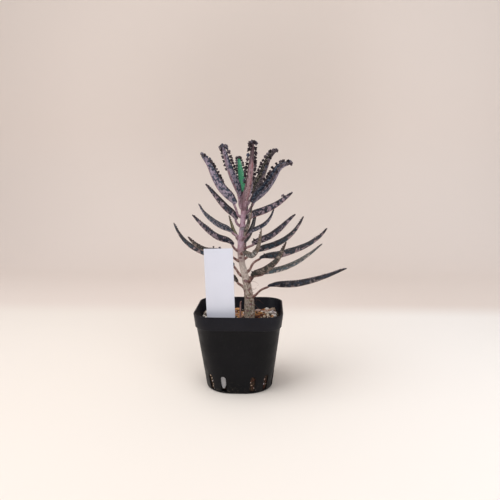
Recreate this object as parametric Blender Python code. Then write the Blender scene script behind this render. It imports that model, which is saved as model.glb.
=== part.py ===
"""A mother of thousands in its pot: a square nursery pot of gritty mix with a plant label, a bare
leaning stem, and folded boat-shaped leaves with toothed edges, the top ones carrying plantlets.

Metres, +Z up. The origin is the centre of the pot's underside, and the pot's front faces -Y.
"""

import math
import random
from collections import namedtuple

import bmesh
import bpy
from mathutils import Matrix, Vector

GAP = 0.0003  # what touching pieces keep between them
SHARP_ANGLE = math.radians(40)  # edges flatter than this are shaded smooth

# The pot: a square with round corners that narrows to its foot, under a plain band at the rim.
POT_HEIGHT = 0.083
RIM_WIDTH = 0.090
RIM_CORNER = 0.0195
BAND_HEIGHT = 0.014
BAND_TAPER = 0.0015
BAND_STEP = 0.0012
FOOT_WIDTH = 0.069
FOOT_CORNER = 0.029
FOOT_CHAMFER = 0.0012
WALL = 0.0012
CORNER_STEPS = 6

# The drain slots: one on every corner and one on each side of it, with round tops.
SLOT_WIDTH = 0.0055
SLOT_HEIGHT = 0.017
SLOT_START = 0.0020
SLOT_TURNS = (-22, 0, 22)  # degrees round the pot from the corner's diagonal
SLOT_REACH = 0.012

# The potting mix, and the chips and grit that stand out of its top.
MIX_TOP = 0.070
CHIP_COUNT = 22
GRIT_COUNT = 20
LUMP_SIZES = (0.0022, 0.0038)
CHIP_SHAPE = (2.0, 1.2, 0.6)  # a chip's length, width and thickness against its size
CHIP_TILT = 0.4  # radians that a chip may lean either way
LUMP_RAISED = 0.1  # a lump's middle lies this share of its size above the mix
LUMP_SQUARE = 0.023  # lumps lie within their reach of a square of twice this width
LUMP_REACH = 0.014
STEM_CLEAR = 0.0095  # how far the lumps keep from the stem, the label and the loose stones
LABEL_CLEAR = -0.0285
STONE_CLEAR = 0.0045

# The larger loose stones and bark chips. slim and squat: width and height against the length.
STONE_FLAT = -0.45  # the share of its half height where a stone's flat underside lies
STONE_HOLLOWS = 0.82  # the stones' lowest places against their highest
STONE_FACETS = {"pumice": 2, "bark_chip": 1}
Stone = namedtuple("Stone", "kind x y size slim squat turn")
STONES = (
    Stone("pumice", 0.0345, 0.0275, 0.0085, 0.75, 0.80, 20),
    Stone("pumice", 0.0285, 0.0350, 0.0050, 0.80, 0.80, 0),
    Stone("pumice", 0.0365, 0.0165, 0.0060, 0.80, 0.85, 60),
    Stone("pumice", 0.0285, 0.0190, 0.0080, 0.75, 0.60, 100),
    Stone("pumice", -0.0350, 0.0160, 0.0090, 0.80, 0.70, 15),
    Stone("pumice", -0.0280, 0.0270, 0.0060, 0.85, 0.75, 70),
    Stone("pumice", 0.0200, -0.0220, 0.0070, 0.80, 0.70, 40),
    Stone("pumice", -0.0190, -0.0120, 0.0060, 0.80, 0.75, 5),
    Stone("bark_chip", 0.0190, 0.0290, 0.0090, 0.60, 0.45, 10),
    Stone("bark_chip", 0.0205, 0.0080, 0.0065, 0.70, 0.60, 75),
    Stone("bark_chip", -0.0060, 0.0135, 0.0090, 0.50, 0.40, 150),
    Stone("bark_chip", 0.0030, -0.0250, 0.0110, 0.50, 0.40, 30),
    Stone("bark_chip", -0.0040, 0.0320, 0.0100, 0.55, 0.45, 165),
)

# The plant label: a thin plate with a pointed lower end, stuck into the mix behind the front wall.
LABEL_WIDTH = 0.028
LABEL_LENGTH = 0.1458
LABEL_POINT = 0.034
LABEL_THICKNESS = 0.0008
LABEL_TIP = 0.001  # half the width of the point's blunt tip
LABEL_PLACE = Vector((-0.0148, -0.0286, 0.0038))  # where that tip stands
LABEL_LEAN = 3.5  # degrees forward
LABEL_TILT = 1.4  # degrees to the left

# The stem's middle line as it leans and straightens, and its radius at heights along it.
STEM_FOOT = 0.035
STEM_TOP = 0.2035
STEM_LINE = (
    Vector((0.0101, 0.0034, 0.035)),
    Vector((0.0101, 0.0034, 0.071)),
    Vector((0.0098, 0.0034, 0.089)),
    Vector((0.0065, 0.0032, 0.111)),
    Vector((0.0018, 0.0031, 0.131)),
    Vector((0.0009, 0.0030, 0.142)),
    Vector((0.0014, 0.0031, 0.153)),
    Vector((0.0032, 0.0031, 0.170)),
    Vector((0.0046, 0.0032, 0.193)),
    Vector((0.0056, 0.0032, 0.2035)),
)
STEM_RADII = (
    (0.035, 0.0060),
    (0.070, 0.0060),
    (0.082, 0.0053),
    (0.112, 0.0038),
    (0.125, 0.0033),
    (0.155, 0.0031),
    (0.165, 0.0027),
    (0.1970, 0.0026),
    (0.2035, 0.0012),
)
STEM_SIDES = 10
STEM_STEP = 0.0062
SCAR_RELIEF = 0.0002  # old leaf scars ring the stem this high

# Leaf shape shared by all.
PETIOLE_RADIUS = 0.0012
STEM_GAP = 0.00065  # from the stem's plain radius to a petiole's end, past the scars and the stem's lean
START_RISE = 25  # degrees: each petiole first leaves the stem at this angle
START_LENGTH = 0.005
WALK_STEP = 0.0005
SHOULDER_LENGTH = 0.002
AURICLE = 0.0015  # the blade's lowest corners reach back past its shoulder
EDGE_POINTS = (0, 4, 5, 7)  # which of a section's points lie on the blade's edges
BLADE_WALL = 0.0013
BLADE_EDGE = 0.0008
CUPPING = 13  # degrees that each half of the blade curls in between midrib and edge
TOOTH = 0.0012
WIDEST = 0.2  # the share of the blade from its shoulder to its widest place
FADE_POWER = 1.8  # how late the blade narrows towards its tip
KEEL_SUNK = (0.2, 0.5, 0.5, 0.5)  # the share of the blade's depth below its line, from shoulder to tip
TIP_SHARE = 0.12
PLANTLET_TIP_SHARE = 0.38
PLANTLET_RADIUS = 0.0017
PLANTLET_SPACING = 0.005
PLANTLET_OUT = 0.0010  # how far outside the blade's edge a plantlet's middle lies

# height: on the stem. azimuth: degrees from +X, seen from above. half: from midrib to edge.
# fold: degrees that each half is turned up. roll: degrees about the leaf's own line.
# plantlets: the share of the blade, from its tip, that carries them.
# rise: degrees above level, evenly spaced from stem to tip.
Leaf = namedtuple("Leaf", "height azimuth length petiole half shoulder fold roll teeth plantlets rise")
LEAVES = (
    Leaf(0.0940, 352, 0.102, 0.018, 0.0070, 0.35, 62, 0, 10, 0, (65, 22, 2, 9, 15, 20, 24, 25)),
    Leaf(0.1030, 150, 0.045, 0.008, 0.0065, 0.4, 60, 0, 5, 0, (20, 30, 26, 28, 40)),
    Leaf(0.1101, 316, 0.071, 0.007, 0.0070, 0.6, 62, 0, 7, 0, (67, 22, 30, 37, 61, 63)),
    Leaf(0.1125, 36, 0.106, 0.017, 0.0062, 0.4, 60, 0, 9, 0, (0, 6, 13, 26, 32)),
    Leaf(0.1159, 170, 0.094, 0.012, 0.0068, 0.4, 62, 0, 9, 0, (75, 24, 16, 24, 50, 72)),
    Leaf(0.1202, 8, 0.098, 0.018, 0.0075, 0.35, 64, -8, 9, 0, (94, 30, 0, 18, 18, 26, 38, 59)),
    Leaf(0.1240, 92, 0.074, 0.012, 0.0068, 0.4, 60, 0, 7, 0, (40, 20, 20, 36, 52)),
    Leaf(0.1320, 205, 0.061, 0.008, 0.0065, 0.45, 60, 0, 6, 0, (44, 20, 7, 33, 56)),
    Leaf(0.1335, 18, 0.080, 0.010, 0.0068, 0.45, 64, 0, 8, 0, (32, 16, 22, 46, 67)),
    Leaf(0.1395, 295, 0.066, 0.005, 0.0058, 0.7, 58, 0, 7, 0, (-13, -1, 25, 62, 88)),
    Leaf(0.1426, 190, 0.059, 0.006, 0.0068, 0.5, 64, 0, 7, 0, (77, 19, 36, 45, 49)),
    Leaf(0.1440, 5, 0.064, 0.009, 0.0070, 0.7, 66, 0, 7, 0, (17, 25, 32, 46, 41)),
    Leaf(0.1430, 72, 0.060, 0.008, 0.0066, 0.5, 62, 0, 6, 0, (30, 24, 34, 50, 60)),
    Leaf(0.1515, 118, 0.037, 0.007, 0.0040, 0.7, 60, 0, 4, 0, (0, 28, 50, 54, 54)),
    Leaf(0.1540, 300, 0.044, 0.005, 0.0042, 0.55, 66, 0, 4, 0, (48, 54, 61, 72, 77)),
    Leaf(0.1550, 30, 0.047, 0.006, 0.0046, 0.6, 64, 0, 5, 0, (49, 21, 25, 53, 72)),
    Leaf(0.1560, 155, 0.059, 0.007, 0.0062, 0.5, 64, 8, 6, 0, (31, 21, 28, 42, 64)),
    Leaf(0.1640, 84, 0.052, 0.007, 0.0066, 0.5, 64, 0, 6, 0, (40, 34, 44, 56, 62)),
    Leaf(0.1672, 352, 0.060, 0.006, 0.0078, 0.6, 66, 6, 6, 0, (94, 26, 24, 35, 42)),
    Leaf(0.1679, 174, 0.0545, 0.006, 0.0072, 0.5, 66, 0, 6, 0, (82, 46, 48, 50, 47)),
    Leaf(0.1771, 190, 0.0725, 0.013, 0.0100, 0.5, 66, 0, 7, 0.6, (90, 49, 57, 68, 41)),
    Leaf(0.1806, 14, 0.069, 0.011, 0.0105, 0.5, 64, -24, 7, 0.7, (68, 46, 52, 62, -5)),
    Leaf(0.1850, 286, 0.074, 0.012, 0.0085, 0.5, 68, 0, 7, 0.7, (40, 50, 62, 70, 78)),
    Leaf(0.1856, 232, 0.0655, 0.012, 0.0090, 0.5, 66, -22, 7, 0.5, (94, 66, 58, 66, 70)),
    Leaf(0.1880, 43, 0.069, 0.014, 0.0088, 0.5, 66, -6, 7, 0.6, (51, 54, 59, 65, 26)),
    Leaf(0.1893, 109, 0.050, 0.012, 0.0062, 0.5, 52, 0, 5, 0.8, (90, 80, 68, 66, 65)),
    Leaf(0.1925, 59, 0.038, 0.009, 0.0052, 0.5, 68, 0, 4, 0.2, (40, 71, 83, 84, 86)),
    Leaf(0.1960, 168, 0.014, 0.004, 0.0030, 0.7, 60, 0, 2, 0, (50, 80, 85)),
    Leaf(0.1965, 335, 0.019, 0.004, 0.0028, 0.7, 60, 0, 2, 0, (50, 80, 85)),
)

UP = Vector((0, 0, 1))

# Each surface's colour and roughness.
LOOKS = {
    "pot_black": ((0.012, 0.012, 0.014), 0.45),
    "soil": ((0.13, 0.085, 0.055), 0.9),
    "pumice": ((0.78, 0.74, 0.66), 0.85),
    "bark_chip": ((0.36, 0.17, 0.07), 0.8),
    "label_white": ((0.86, 0.88, 0.92), 0.4),
    "stem_bark": ((0.34, 0.29, 0.24), 0.8),
    "leaf": ((0.23, 0.20, 0.24), 0.5),
}


def surface(name):
    """The material of this name, made when it is first asked for."""
    if name in bpy.data.materials:
        return bpy.data.materials[name]
    made = bpy.data.materials.new(name)
    made.use_nodes = True
    colour, roughness = LOOKS[name]
    shader = made.node_tree.nodes["Principled BSDF"]
    shader.inputs["Base Color"].default_value = (*colour, 1)
    shader.inputs["Roughness"].default_value = roughness
    shader.inputs["Metallic"].default_value = 0
    return made


def add(name, bm, look):
    """The finished mesh as an object of its own."""
    bmesh.ops.recalc_face_normals(bm, faces=bm.faces)
    mesh = bpy.data.meshes.new(name)
    bm.to_mesh(mesh)
    bm.free()
    mesh.materials.append(surface(look))
    mesh.shade_smooth()
    mesh.set_sharp_from_angle(angle=SHARP_ANGLE)
    obj = bpy.data.objects.new(name, mesh)
    bpy.context.scene.collection.objects.link(obj)
    return obj


def combine(obj, others, operation, solver):
    """Join the other objects to obj, or cut them out of it, for good."""
    group = bpy.data.collections.new("others")
    for other in others:
        group.objects.link(other)
    boolean = obj.modifiers.new("combine", "BOOLEAN")
    boolean.operation = operation
    boolean.solver = solver
    boolean.operand_type = "COLLECTION"
    boolean.collection = group
    graph = bpy.context.evaluated_depsgraph_get()
    mesh = bpy.data.meshes.new_from_object(obj.evaluated_get(graph))
    obj.modifiers.clear()
    obj.data = mesh
    bpy.data.collections.remove(group)
    for other in others:
        bpy.data.objects.remove(other)


def loft(rings):
    """A closed solid through rings of the same number of points, extruded from one to the next."""
    bm = bmesh.new()
    first = bm.faces.new([bm.verts.new(point) for point in rings[0]])
    cap = first
    for ring in rings[1:]:
        made = bmesh.ops.extrude_face_region(bm, geom=[cap])["geom"]
        if cap is not first:
            bm.faces.remove(cap)
        cap = next(item for item in made if isinstance(item, bmesh.types.BMFace))
        for vert, point in zip(cap.verts, ring):
            vert.co = point
    return bm


def reading(values, share):
    """The value at a share of the way along evenly spaced values."""
    place = min(max(share, 0), 1) * (len(values) - 1)
    index = min(int(place), len(values) - 2)
    part = place - index
    return values[index] * (1 - part) + values[index + 1] * part


def rounded_square(width, corner, height):
    """A ring of points round a square with round corners."""
    points = []
    for quarter in range(4):
        turn = math.radians(90 * quarter)
        centre = Vector((width / 2 - corner, width / 2 - corner, 0))
        centre.rotate(Matrix.Rotation(turn, 3, "Z"))
        for step in range(CORNER_STEPS + 1):
            angle = turn + math.radians(90 * step / CORNER_STEPS)
            points.append(centre + Vector((math.cos(angle), math.sin(angle), 0)) * corner)
    for point in points:
        point.z = height
    return points


def body_size(height):
    """The width and corner radius of the pot's tapering body, outside, at this height."""
    share = height / (POT_HEIGHT - BAND_HEIGHT)
    top_width = RIM_WIDTH - 2 * BAND_TAPER - 2 * BAND_STEP
    width = FOOT_WIDTH + (top_width - FOOT_WIDTH) * share
    corner = FOOT_CORNER + (RIM_CORNER - BAND_STEP - FOOT_CORNER) * share
    return width, corner


def body_ring(height, inwards=0.0):
    width, corner = body_size(height)
    return rounded_square(width - 2 * inwards, corner - inwards, height)


def slot_cutter(turn):
    """A round-topped bar that cuts one drain slot through the wall, this many degrees from +X."""
    bm = bmesh.new()
    straight = SLOT_HEIGHT - SLOT_WIDTH / 2
    outline = [Vector((-SLOT_WIDTH / 2, 0, 0)), Vector((SLOT_WIDTH / 2, 0, 0))]
    for step in range(CORNER_STEPS + 1):
        angle = math.pi * step / CORNER_STEPS
        across = math.cos(angle) * SLOT_WIDTH / 2
        outline.append(Vector((across, 0, straight + math.sin(angle) * SLOT_WIDTH / 2)))
    face = bm.faces.new([bm.verts.new(point) for point in outline])
    made = bmesh.ops.extrude_face_region(bm, geom=[face])["geom"]
    verts = [item for item in made if isinstance(item, bmesh.types.BMVert)]
    bmesh.ops.translate(bm, verts=verts, vec=(0, SLOT_REACH, 0))
    out = FOOT_WIDTH / 2 - SLOT_REACH / 3
    place = Matrix.Rotation(math.radians(turn - 90), 4, "Z") @ Matrix.Translation((0, out, SLOT_START))
    bmesh.ops.transform(bm, matrix=place, verts=bm.verts)
    return add("slot", bm, "soil")


def make_pot():
    band = POT_HEIGHT - BAND_HEIGHT
    band_width = RIM_WIDTH - 2 * BAND_TAPER
    rings = [
        rounded_square(FOOT_WIDTH - 2 * FOOT_CHAMFER, FOOT_CORNER - FOOT_CHAMFER, 0),
        body_ring(FOOT_CHAMFER),
        body_ring(band),
        rounded_square(band_width, RIM_CORNER, band),
        rounded_square(RIM_WIDTH, RIM_CORNER, POT_HEIGHT),
        rounded_square(RIM_WIDTH - 2 * WALL, RIM_CORNER - WALL, POT_HEIGHT),
        rounded_square(band_width - 2 * WALL, RIM_CORNER - WALL, band + WALL),
        body_ring(band, WALL),
        body_ring(WALL, WALL),
    ]
    pot = add("pot", loft(rings), "pot_black")
    cutters = [slot_cutter(corner + turn) for corner in (45, 135, 225, 315) for turn in SLOT_TURNS]
    combine(pot, cutters, "DIFFERENCE", "EXACT")


def stem_middle(height):
    """The stem's middle line at this height, drawn through its points as a smooth curve."""
    line = STEM_LINE
    index = max(i for i in range(len(line) - 1) if line[i].z <= height or i == 0)
    start, end = line[index], line[index + 1]
    before, after = line[max(index - 1, 0)], line[min(index + 2, len(line) - 1)]
    share = (height - start.z) / (end.z - start.z)
    leave = (end - before) * (end.z - start.z) / (end.z - before.z)
    arrive = (after - start) * (end.z - start.z) / (after.z - start.z)
    square, cube = share**2, share**3
    point = start * (2 * cube - 3 * square + 1) + leave * (cube - 2 * square + share)
    point = point + end * (3 * square - 2 * cube) + arrive * (cube - square)
    return Vector((point.x, point.y, height))


def stem_radius(height):
    for (low, low_radius), (high, high_radius) in zip(STEM_RADII, STEM_RADII[1:]):
        if height <= high:
            return low_radius + (high_radius - low_radius) * (height - low) / (high - low)
    return STEM_RADII[-1][1]


def stem_ring(height, extra):
    middle = stem_middle(height)
    radius = stem_radius(height) + extra
    turns = [2 * math.pi * side / STEM_SIDES for side in range(STEM_SIDES)]
    return [middle + Vector((math.cos(turn), math.sin(turn), 0)) * radius for turn in turns]


def make_stem():
    count = round((STEM_TOP - STEM_FOOT) / STEM_STEP)
    rings = []
    for step in range(count + 1):
        height = STEM_FOOT + (STEM_TOP - STEM_FOOT) * step / count
        bare = MIX_TOP < height < STEM_TOP - STEM_STEP
        rings.append(stem_ring(height, SCAR_RELIEF * (step % 2) if bare else 0))
    add("stem", loft(rings), "stem_bark")


def stem_hole():
    """The plain hole in the mix that the stem stands in."""
    rings = [stem_ring(height, GAP) for height in (STEM_FOOT - GAP, MIX_TOP + GAP)]
    return add("stem_hole", loft(rings), "soil")


def slab(outline, thickness):
    """A flat upright plate of this outline, centred on its middle plane."""
    bm = bmesh.new()
    face = bm.faces.new([bm.verts.new(point - Vector((0, thickness / 2, 0))) for point in outline])
    made = bmesh.ops.extrude_face_region(bm, geom=[face])["geom"]
    verts = [item for item in made if isinstance(item, bmesh.types.BMVert)]
    bmesh.ops.translate(bm, verts=verts, vec=(0, thickness, 0))
    return bm


def stand_label(bm):
    """Lean and tilt a plate, and stand it on the place of the label's tip."""
    lean = Matrix.Rotation(math.radians(LABEL_LEAN), 4, "X")
    tilt = Matrix.Rotation(math.radians(-LABEL_TILT), 4, "Y")
    bmesh.ops.transform(bm, matrix=Matrix.Translation(LABEL_PLACE) @ lean @ tilt, verts=bm.verts)


def make_label():
    half = LABEL_WIDTH / 2
    outline = [
        Vector((-LABEL_TIP, 0, 0)),
        Vector((LABEL_TIP, 0, 0)),
        Vector((half, 0, LABEL_POINT)),
        Vector((half, 0, LABEL_LENGTH)),
        Vector((-half, 0, LABEL_LENGTH)),
        Vector((-half, 0, LABEL_POINT)),
    ]
    bm = slab(outline, LABEL_THICKNESS)
    stand_label(bm)
    add("plant_label", bm, "label_white")


def label_slot():
    """The plain slot in the mix that the label stands in."""
    half = LABEL_WIDTH / 2 + GAP
    corners = ((-half, -GAP), (half, -GAP), (half, MIX_TOP), (-half, MIX_TOP))
    outline = [Vector((x, 0, z)) for x, z in corners]
    bm = slab(outline, LABEL_THICKNESS + 2 * GAP)
    stand_label(bm)
    return add("label_slot", bm, "soil")


def lump_place(rng, reach):
    """A free place on the mix: clear of the wall, the stem, the label and the loose stones."""
    stem = stem_middle(MIX_TOP)
    half = LUMP_SQUARE + reach
    while True:
        x, y = rng.uniform(-half, half), rng.uniform(-half, half)
        corner = math.hypot(max(abs(x) - LUMP_SQUARE, 0), max(abs(y) - LUMP_SQUARE, 0))
        by_stem = math.hypot(x - stem.x, y - stem.y) < STEM_CLEAR
        by_label = y < LABEL_CLEAR
        by_stone = any(math.hypot(x - s.x, y - s.y) < s.size / 2 + STONE_CLEAR for s in STONES)
        if corner < reach and not (by_stem or by_label or by_stone):
            return x, y


def make_mix():
    """The potting mix: a solid that fills the pot, with bark chips and grit sunk in its top."""
    inwards = WALL + GAP
    mix = add("potting_mix", loft([body_ring(inwards, inwards), body_ring(MIX_TOP, inwards)]), "soil")
    rng = random.Random(11)
    lumps = []
    for index in range(CHIP_COUNT + GRIT_COUNT):
        size = rng.uniform(*LUMP_SIZES)
        x, y = lump_place(rng, LUMP_REACH - size / 2)
        bm = bmesh.new()
        if index < CHIP_COUNT:
            bmesh.ops.create_cube(bm, size=size)
            bmesh.ops.scale(bm, vec=CHIP_SHAPE, verts=bm.verts)
            tilt = Matrix.Rotation(rng.uniform(-CHIP_TILT, CHIP_TILT), 4, "X")
        else:
            bmesh.ops.create_icosphere(bm, subdivisions=1, radius=size / 2)
            tilt = Matrix.Rotation(rng.uniform(0, math.pi), 4, "X")
        turn = Matrix.Rotation(rng.uniform(0, 2 * math.pi), 4, "Z")
        place = Matrix.Translation((x, y, MIX_TOP + size * LUMP_RAISED))
        bmesh.ops.transform(bm, matrix=place @ turn @ tilt, verts=bm.verts)
        lumps.append(add(f"lump_{index}", bm, "soil"))
    combine(mix, lumps, "UNION", "MANIFOLD")
    combine(mix, [stem_hole(), label_slot()], "DIFFERENCE", "EXACT")


def make_stones():
    """The larger loose stones and bark chips, each lying on a flat spot of the mix."""
    for index, stone in enumerate(STONES):
        rng = random.Random(index)
        bm = bmesh.new()
        bmesh.ops.create_icosphere(bm, subdivisions=STONE_FACETS[stone.kind], radius=1)
        for vert in bm.verts:
            vert.co *= rng.uniform(STONE_HOLLOWS, 1)
            vert.co.z = max(vert.co.z, STONE_FLAT)
        radius = stone.size / 2
        bmesh.ops.scale(bm, vec=(radius, radius * stone.slim, radius * stone.squat), verts=bm.verts)
        rise = MIX_TOP + GAP - STONE_FLAT * radius * stone.squat
        turn = Matrix.Rotation(math.radians(stone.turn), 4, "Z")
        place = Matrix.Translation((stone.x, stone.y, rise))
        bmesh.ops.transform(bm, matrix=place @ turn, verts=bm.verts)
        add(f"{stone.kind}_{index + 1:02d}", bm, stone.kind)


def leaf_line(leaf, lengths):
    """The leaf's middle line at these lengths from the stem: place, onward, side and up at each.

    At the stem itself the directions are level, so that the petiole's end stands upright against it.
    """
    azimuth = math.radians(leaf.azimuth)
    outward = Vector((math.cos(azimuth), math.sin(azimuth), 0))
    flat_side = Vector((math.sin(azimuth), -math.cos(azimuth), 0))
    roll = math.radians(leaf.roll)
    place = stem_middle(leaf.height) + outward * (stem_radius(leaf.height) + STEM_GAP)
    walked = 0.0
    stations = []
    for length in lengths:
        count = max(math.ceil((length - walked) / WALK_STEP), 1)
        step = (length - walked) / count
        for number in range(count):
            rise = leaf_rise(leaf, walked + step * (number + 0.5))
            place = place + (outward * math.cos(rise) + UP * math.sin(rise)) * step
        walked = length
        rise = leaf_rise(leaf, length) if length else 0
        onward = outward * math.cos(rise) + UP * math.sin(rise)
        flat_up = UP * math.cos(rise) - outward * math.sin(rise)
        side = flat_side * math.cos(roll) + flat_up * math.sin(roll)
        up = flat_up * math.cos(roll) - flat_side * math.sin(roll)
        stations.append((place, onward, side, up))
    return stations


def leaf_rise(leaf, length):
    """The angle above level at this length, in radians: it bends from its start to its own curve."""
    share = min(length / START_LENGTH, 1)
    own = reading(leaf.rise, length / leaf.length)
    return math.radians(START_RISE * (1 - share) + own * share)


def petiole_section():
    """Points round the petiole, in the same order as the blade's: side and up from its middle."""
    turns = [math.radians(turn) for turn in (-90, -45, 0, 45, 90, 135, 180, 225)]
    return [(PETIOLE_RADIUS * math.sin(turn), -PETIOLE_RADIUS * math.cos(turn)) for turn in turns]


def blade_half(leaf, share):
    """The blade's width from midrib to edge at this share of its length."""
    tip = PLANTLET_TIP_SHARE if leaf.plantlets else TIP_SHARE
    swell = math.sin(math.pi / 2 * min(share / WIDEST, 1))
    fade = max(share - WIDEST, 0) / (1 - WIDEST)
    narrowing = 1 - (1 - tip) * fade**FADE_POWER
    return leaf.half * (leaf.shoulder + (1 - leaf.shoulder) * swell) * narrowing


def blade_section(leaf, share, tooth):
    """Points across the folded blade: edge, keel, other edge, then back along the channel inside."""
    half = blade_half(leaf, share)
    low = math.radians(leaf.fold - CUPPING)
    high = math.radians(leaf.fold + CUPPING)
    middle_x, middle_z = math.cos(low) * half / 2, math.sin(low) * half / 2
    edge_x = middle_x + math.cos(high) * (half / 2 + tooth)
    edge_z = middle_z + math.sin(high) * (half / 2 + tooth)
    inner_x, inner_z = edge_x - math.sin(high) * BLADE_EDGE, edge_z + math.cos(high) * BLADE_EDGE
    channel = min(BLADE_WALL / math.cos(math.radians(leaf.fold)), edge_z * 0.6 + BLADE_EDGE)
    sunk = -reading(KEEL_SUNK, share) * edge_z
    across = (-edge_x, -middle_x, 0, middle_x, edge_x, inner_x, 0, -inner_x)
    above = (edge_z, middle_z, 0, middle_z, edge_z, inner_z, channel, inner_z)
    return [(x, z + sunk) for x, z in zip(across, above)]


def make_leaf(index, leaf):
    rings_in_blade = 2 * leaf.teeth + 1
    blade_start = leaf.petiole + SHOULDER_LENGTH
    blade = leaf.length - blade_start
    shares = [step / rings_in_blade for step in range(rings_in_blade + 1)]
    lengths = [0, START_LENGTH / 2, START_LENGTH]
    if leaf.petiole > START_LENGTH * 1.5:
        lengths += [(START_LENGTH + leaf.petiole) / 2, leaf.petiole]
    petiole_rings = len(lengths)
    stations = leaf_line(leaf, lengths + [blade_start + share * blade for share in shares])
    rings = []
    for place, onward, side, up in stations[:petiole_rings]:
        rings.append([place + side * x + up * z for x, z in petiole_section()])
    for step, (place, onward, side, up) in enumerate(stations[petiole_rings:]):
        toothed = step % 2 and WIDEST < shares[step] < 1
        section = blade_section(leaf, shares[step], TOOTH if toothed else 0)
        ring = [place + side * x + up * z for x, z in section]
        if step == 0:
            for corner in EDGE_POINTS:
                ring[corner] -= onward * AURICLE
        rings.append(ring)
    obj = add(f"leaf_{index + 1:02d}", loft(rings), "leaf")
    if leaf.plantlets:
        combine(obj, plantlets(leaf, blade_start, blade), "UNION", "MANIFOLD")


def plantlets(leaf, blade_start, blade):
    """Beads for the plantlets along both edges of the blade's far part and across its tip."""
    count = round(blade * leaf.plantlets / PLANTLET_SPACING)
    shares = [1 - leaf.plantlets * step / count for step in range(count)]
    stations = leaf_line(leaf, [blade_start + share * blade for share in reversed(shares)])
    beads = []
    for share, (place, onward, side, up) in zip(reversed(shares), stations):
        edge_x, edge_z = blade_section(leaf, share, 0)[4]
        for hand in (-1, 1):
            centre = place + side * hand * (edge_x + PLANTLET_OUT) + up * (edge_z + PLANTLET_OUT / 2)
            bm = bmesh.new()
            bmesh.ops.create_icosphere(bm, subdivisions=1, radius=PLANTLET_RADIUS)
            bmesh.ops.translate(bm, verts=bm.verts, vec=centre)
            beads.append(add("bead", bm, "leaf"))
    return beads


def main():
    for obj in list(bpy.data.objects):
        bpy.data.objects.remove(obj)
    make_pot()
    make_mix()
    make_stones()
    make_label()
    make_stem()
    for index, leaf in enumerate(LEAVES):
        make_leaf(index, leaf)


if __name__ == "__main__":
    main()
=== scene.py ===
# %% [markdown]
# # A mother of thousands in its nursery pot
#
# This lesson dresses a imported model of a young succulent: a bare, leaning stem with folded, toothed
# and blotched leaves, in a square black pot of gritty mix with a white plant label. The plain solids
# come from the frame. Each step below makes one finer piece in their place, or adds what they leave
# out. Everything is in metres, +Z up, and the origin is the centre of the pot's underside.

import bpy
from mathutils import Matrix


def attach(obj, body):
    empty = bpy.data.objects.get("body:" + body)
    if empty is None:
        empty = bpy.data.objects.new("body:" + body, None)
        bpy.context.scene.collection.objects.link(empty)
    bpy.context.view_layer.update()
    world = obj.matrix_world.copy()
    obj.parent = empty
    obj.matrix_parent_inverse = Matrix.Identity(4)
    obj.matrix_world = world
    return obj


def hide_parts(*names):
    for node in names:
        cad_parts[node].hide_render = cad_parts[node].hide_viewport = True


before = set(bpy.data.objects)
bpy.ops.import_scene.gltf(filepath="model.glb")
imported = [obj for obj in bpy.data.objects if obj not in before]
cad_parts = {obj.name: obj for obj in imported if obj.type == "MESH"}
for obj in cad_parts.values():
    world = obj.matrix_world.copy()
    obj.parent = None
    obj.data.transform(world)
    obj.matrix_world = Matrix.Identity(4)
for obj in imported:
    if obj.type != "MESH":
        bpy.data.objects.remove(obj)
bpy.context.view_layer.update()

# %% Modules and the unit
import math
import random
from collections import namedtuple

import bmesh
import bpy
from mathutils import Matrix, Vector, noise

MM = 0.001
UP = Vector((0, 0, 1))

# %% [markdown]
# ## Camera
# The camera stands where the photograph was taken from: 0.6 m in front of the pot, a little to its
# right, looking down on it. The lens is shifted up a little, because the picture is a crop.

# %% Camera
def shown(name, data):
    """A new object in the scene that shows this data."""
    made = bpy.data.objects.new(name, data)
    bpy.context.scene.collection.objects.link(made)
    return made


CAMERA_PLACE = Vector((0.031, -0.5431, 0.2209))
CAMERA_DOWN = 11.074
CAMERA_LEFT = 2.136
camera_data = bpy.data.cameras.new("camera")
camera_data.lens = 38.49
camera_data.sensor_width = 36
camera_data.shift_y = 0.054
camera = shown("camera", camera_data)
camera.location = CAMERA_PLACE
camera.rotation_euler = (math.radians(90 - CAMERA_DOWN), 0, math.radians(CAMERA_LEFT))
bpy.context.scene.camera = camera
print("camera to pot:", round(CAMERA_PLACE.length, 3))

# %% [markdown]
# ## Light
# The photograph is lit softly from above and in front, so nearly every side is bright and the
# shadows are faint. A pale world gives the even part, and three large lamps give it direction. A
# sky or a sun would be simpler, but their shadows would be too sharp or too faint to shape.

# %% Lamps and world
bpy.context.scene.view_settings.view_transform = "Standard"


def lamp(name, place, aim, size, watts):
    """A square area lamp at a place, turned towards its aim."""
    data = bpy.data.lights.new(name, "AREA")
    data.size = size
    data.energy = watts
    made = shown(name, data)
    made.location = place
    made.rotation_euler = (Vector(aim) - Vector(place)).to_track_quat("-Z", "Y").to_euler()
    made.visible_camera = False


lamp("lamp_top", (-0.25, -0.15, 1.1), (0, 0, 0.1), 0.9, 8.0)
lamp("lamp_front", (0.55, -1.0, 0.75), (0, 0, 0.12), 0.8, 4.4)
lamp("lamp_left", (-1.0, -0.7, 0.6), (0, 0, 0.12), 0.8, 3.0)

world = bpy.data.worlds.new("studio")
world.use_nodes = True
world.node_tree.nodes["Background"].inputs["Color"].default_value = (0.80, 0.79, 0.80, 1)
world.node_tree.nodes["Background"].inputs["Strength"].default_value = 0.48
bpy.context.scene.world = world


# %% [markdown]
# ## Small helpers for materials
# A finish is built from a few nodes again and again: a noise, a ramp that turns it into colours, a
# mix of two colours, and a bump. Each has a helper, so a material reads as a list of what the
# surface shows. Colours are given as a paint program shows them, from 0 to 255, and the ramp and the
# mix turn them into the linear values that a shader takes.

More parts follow.
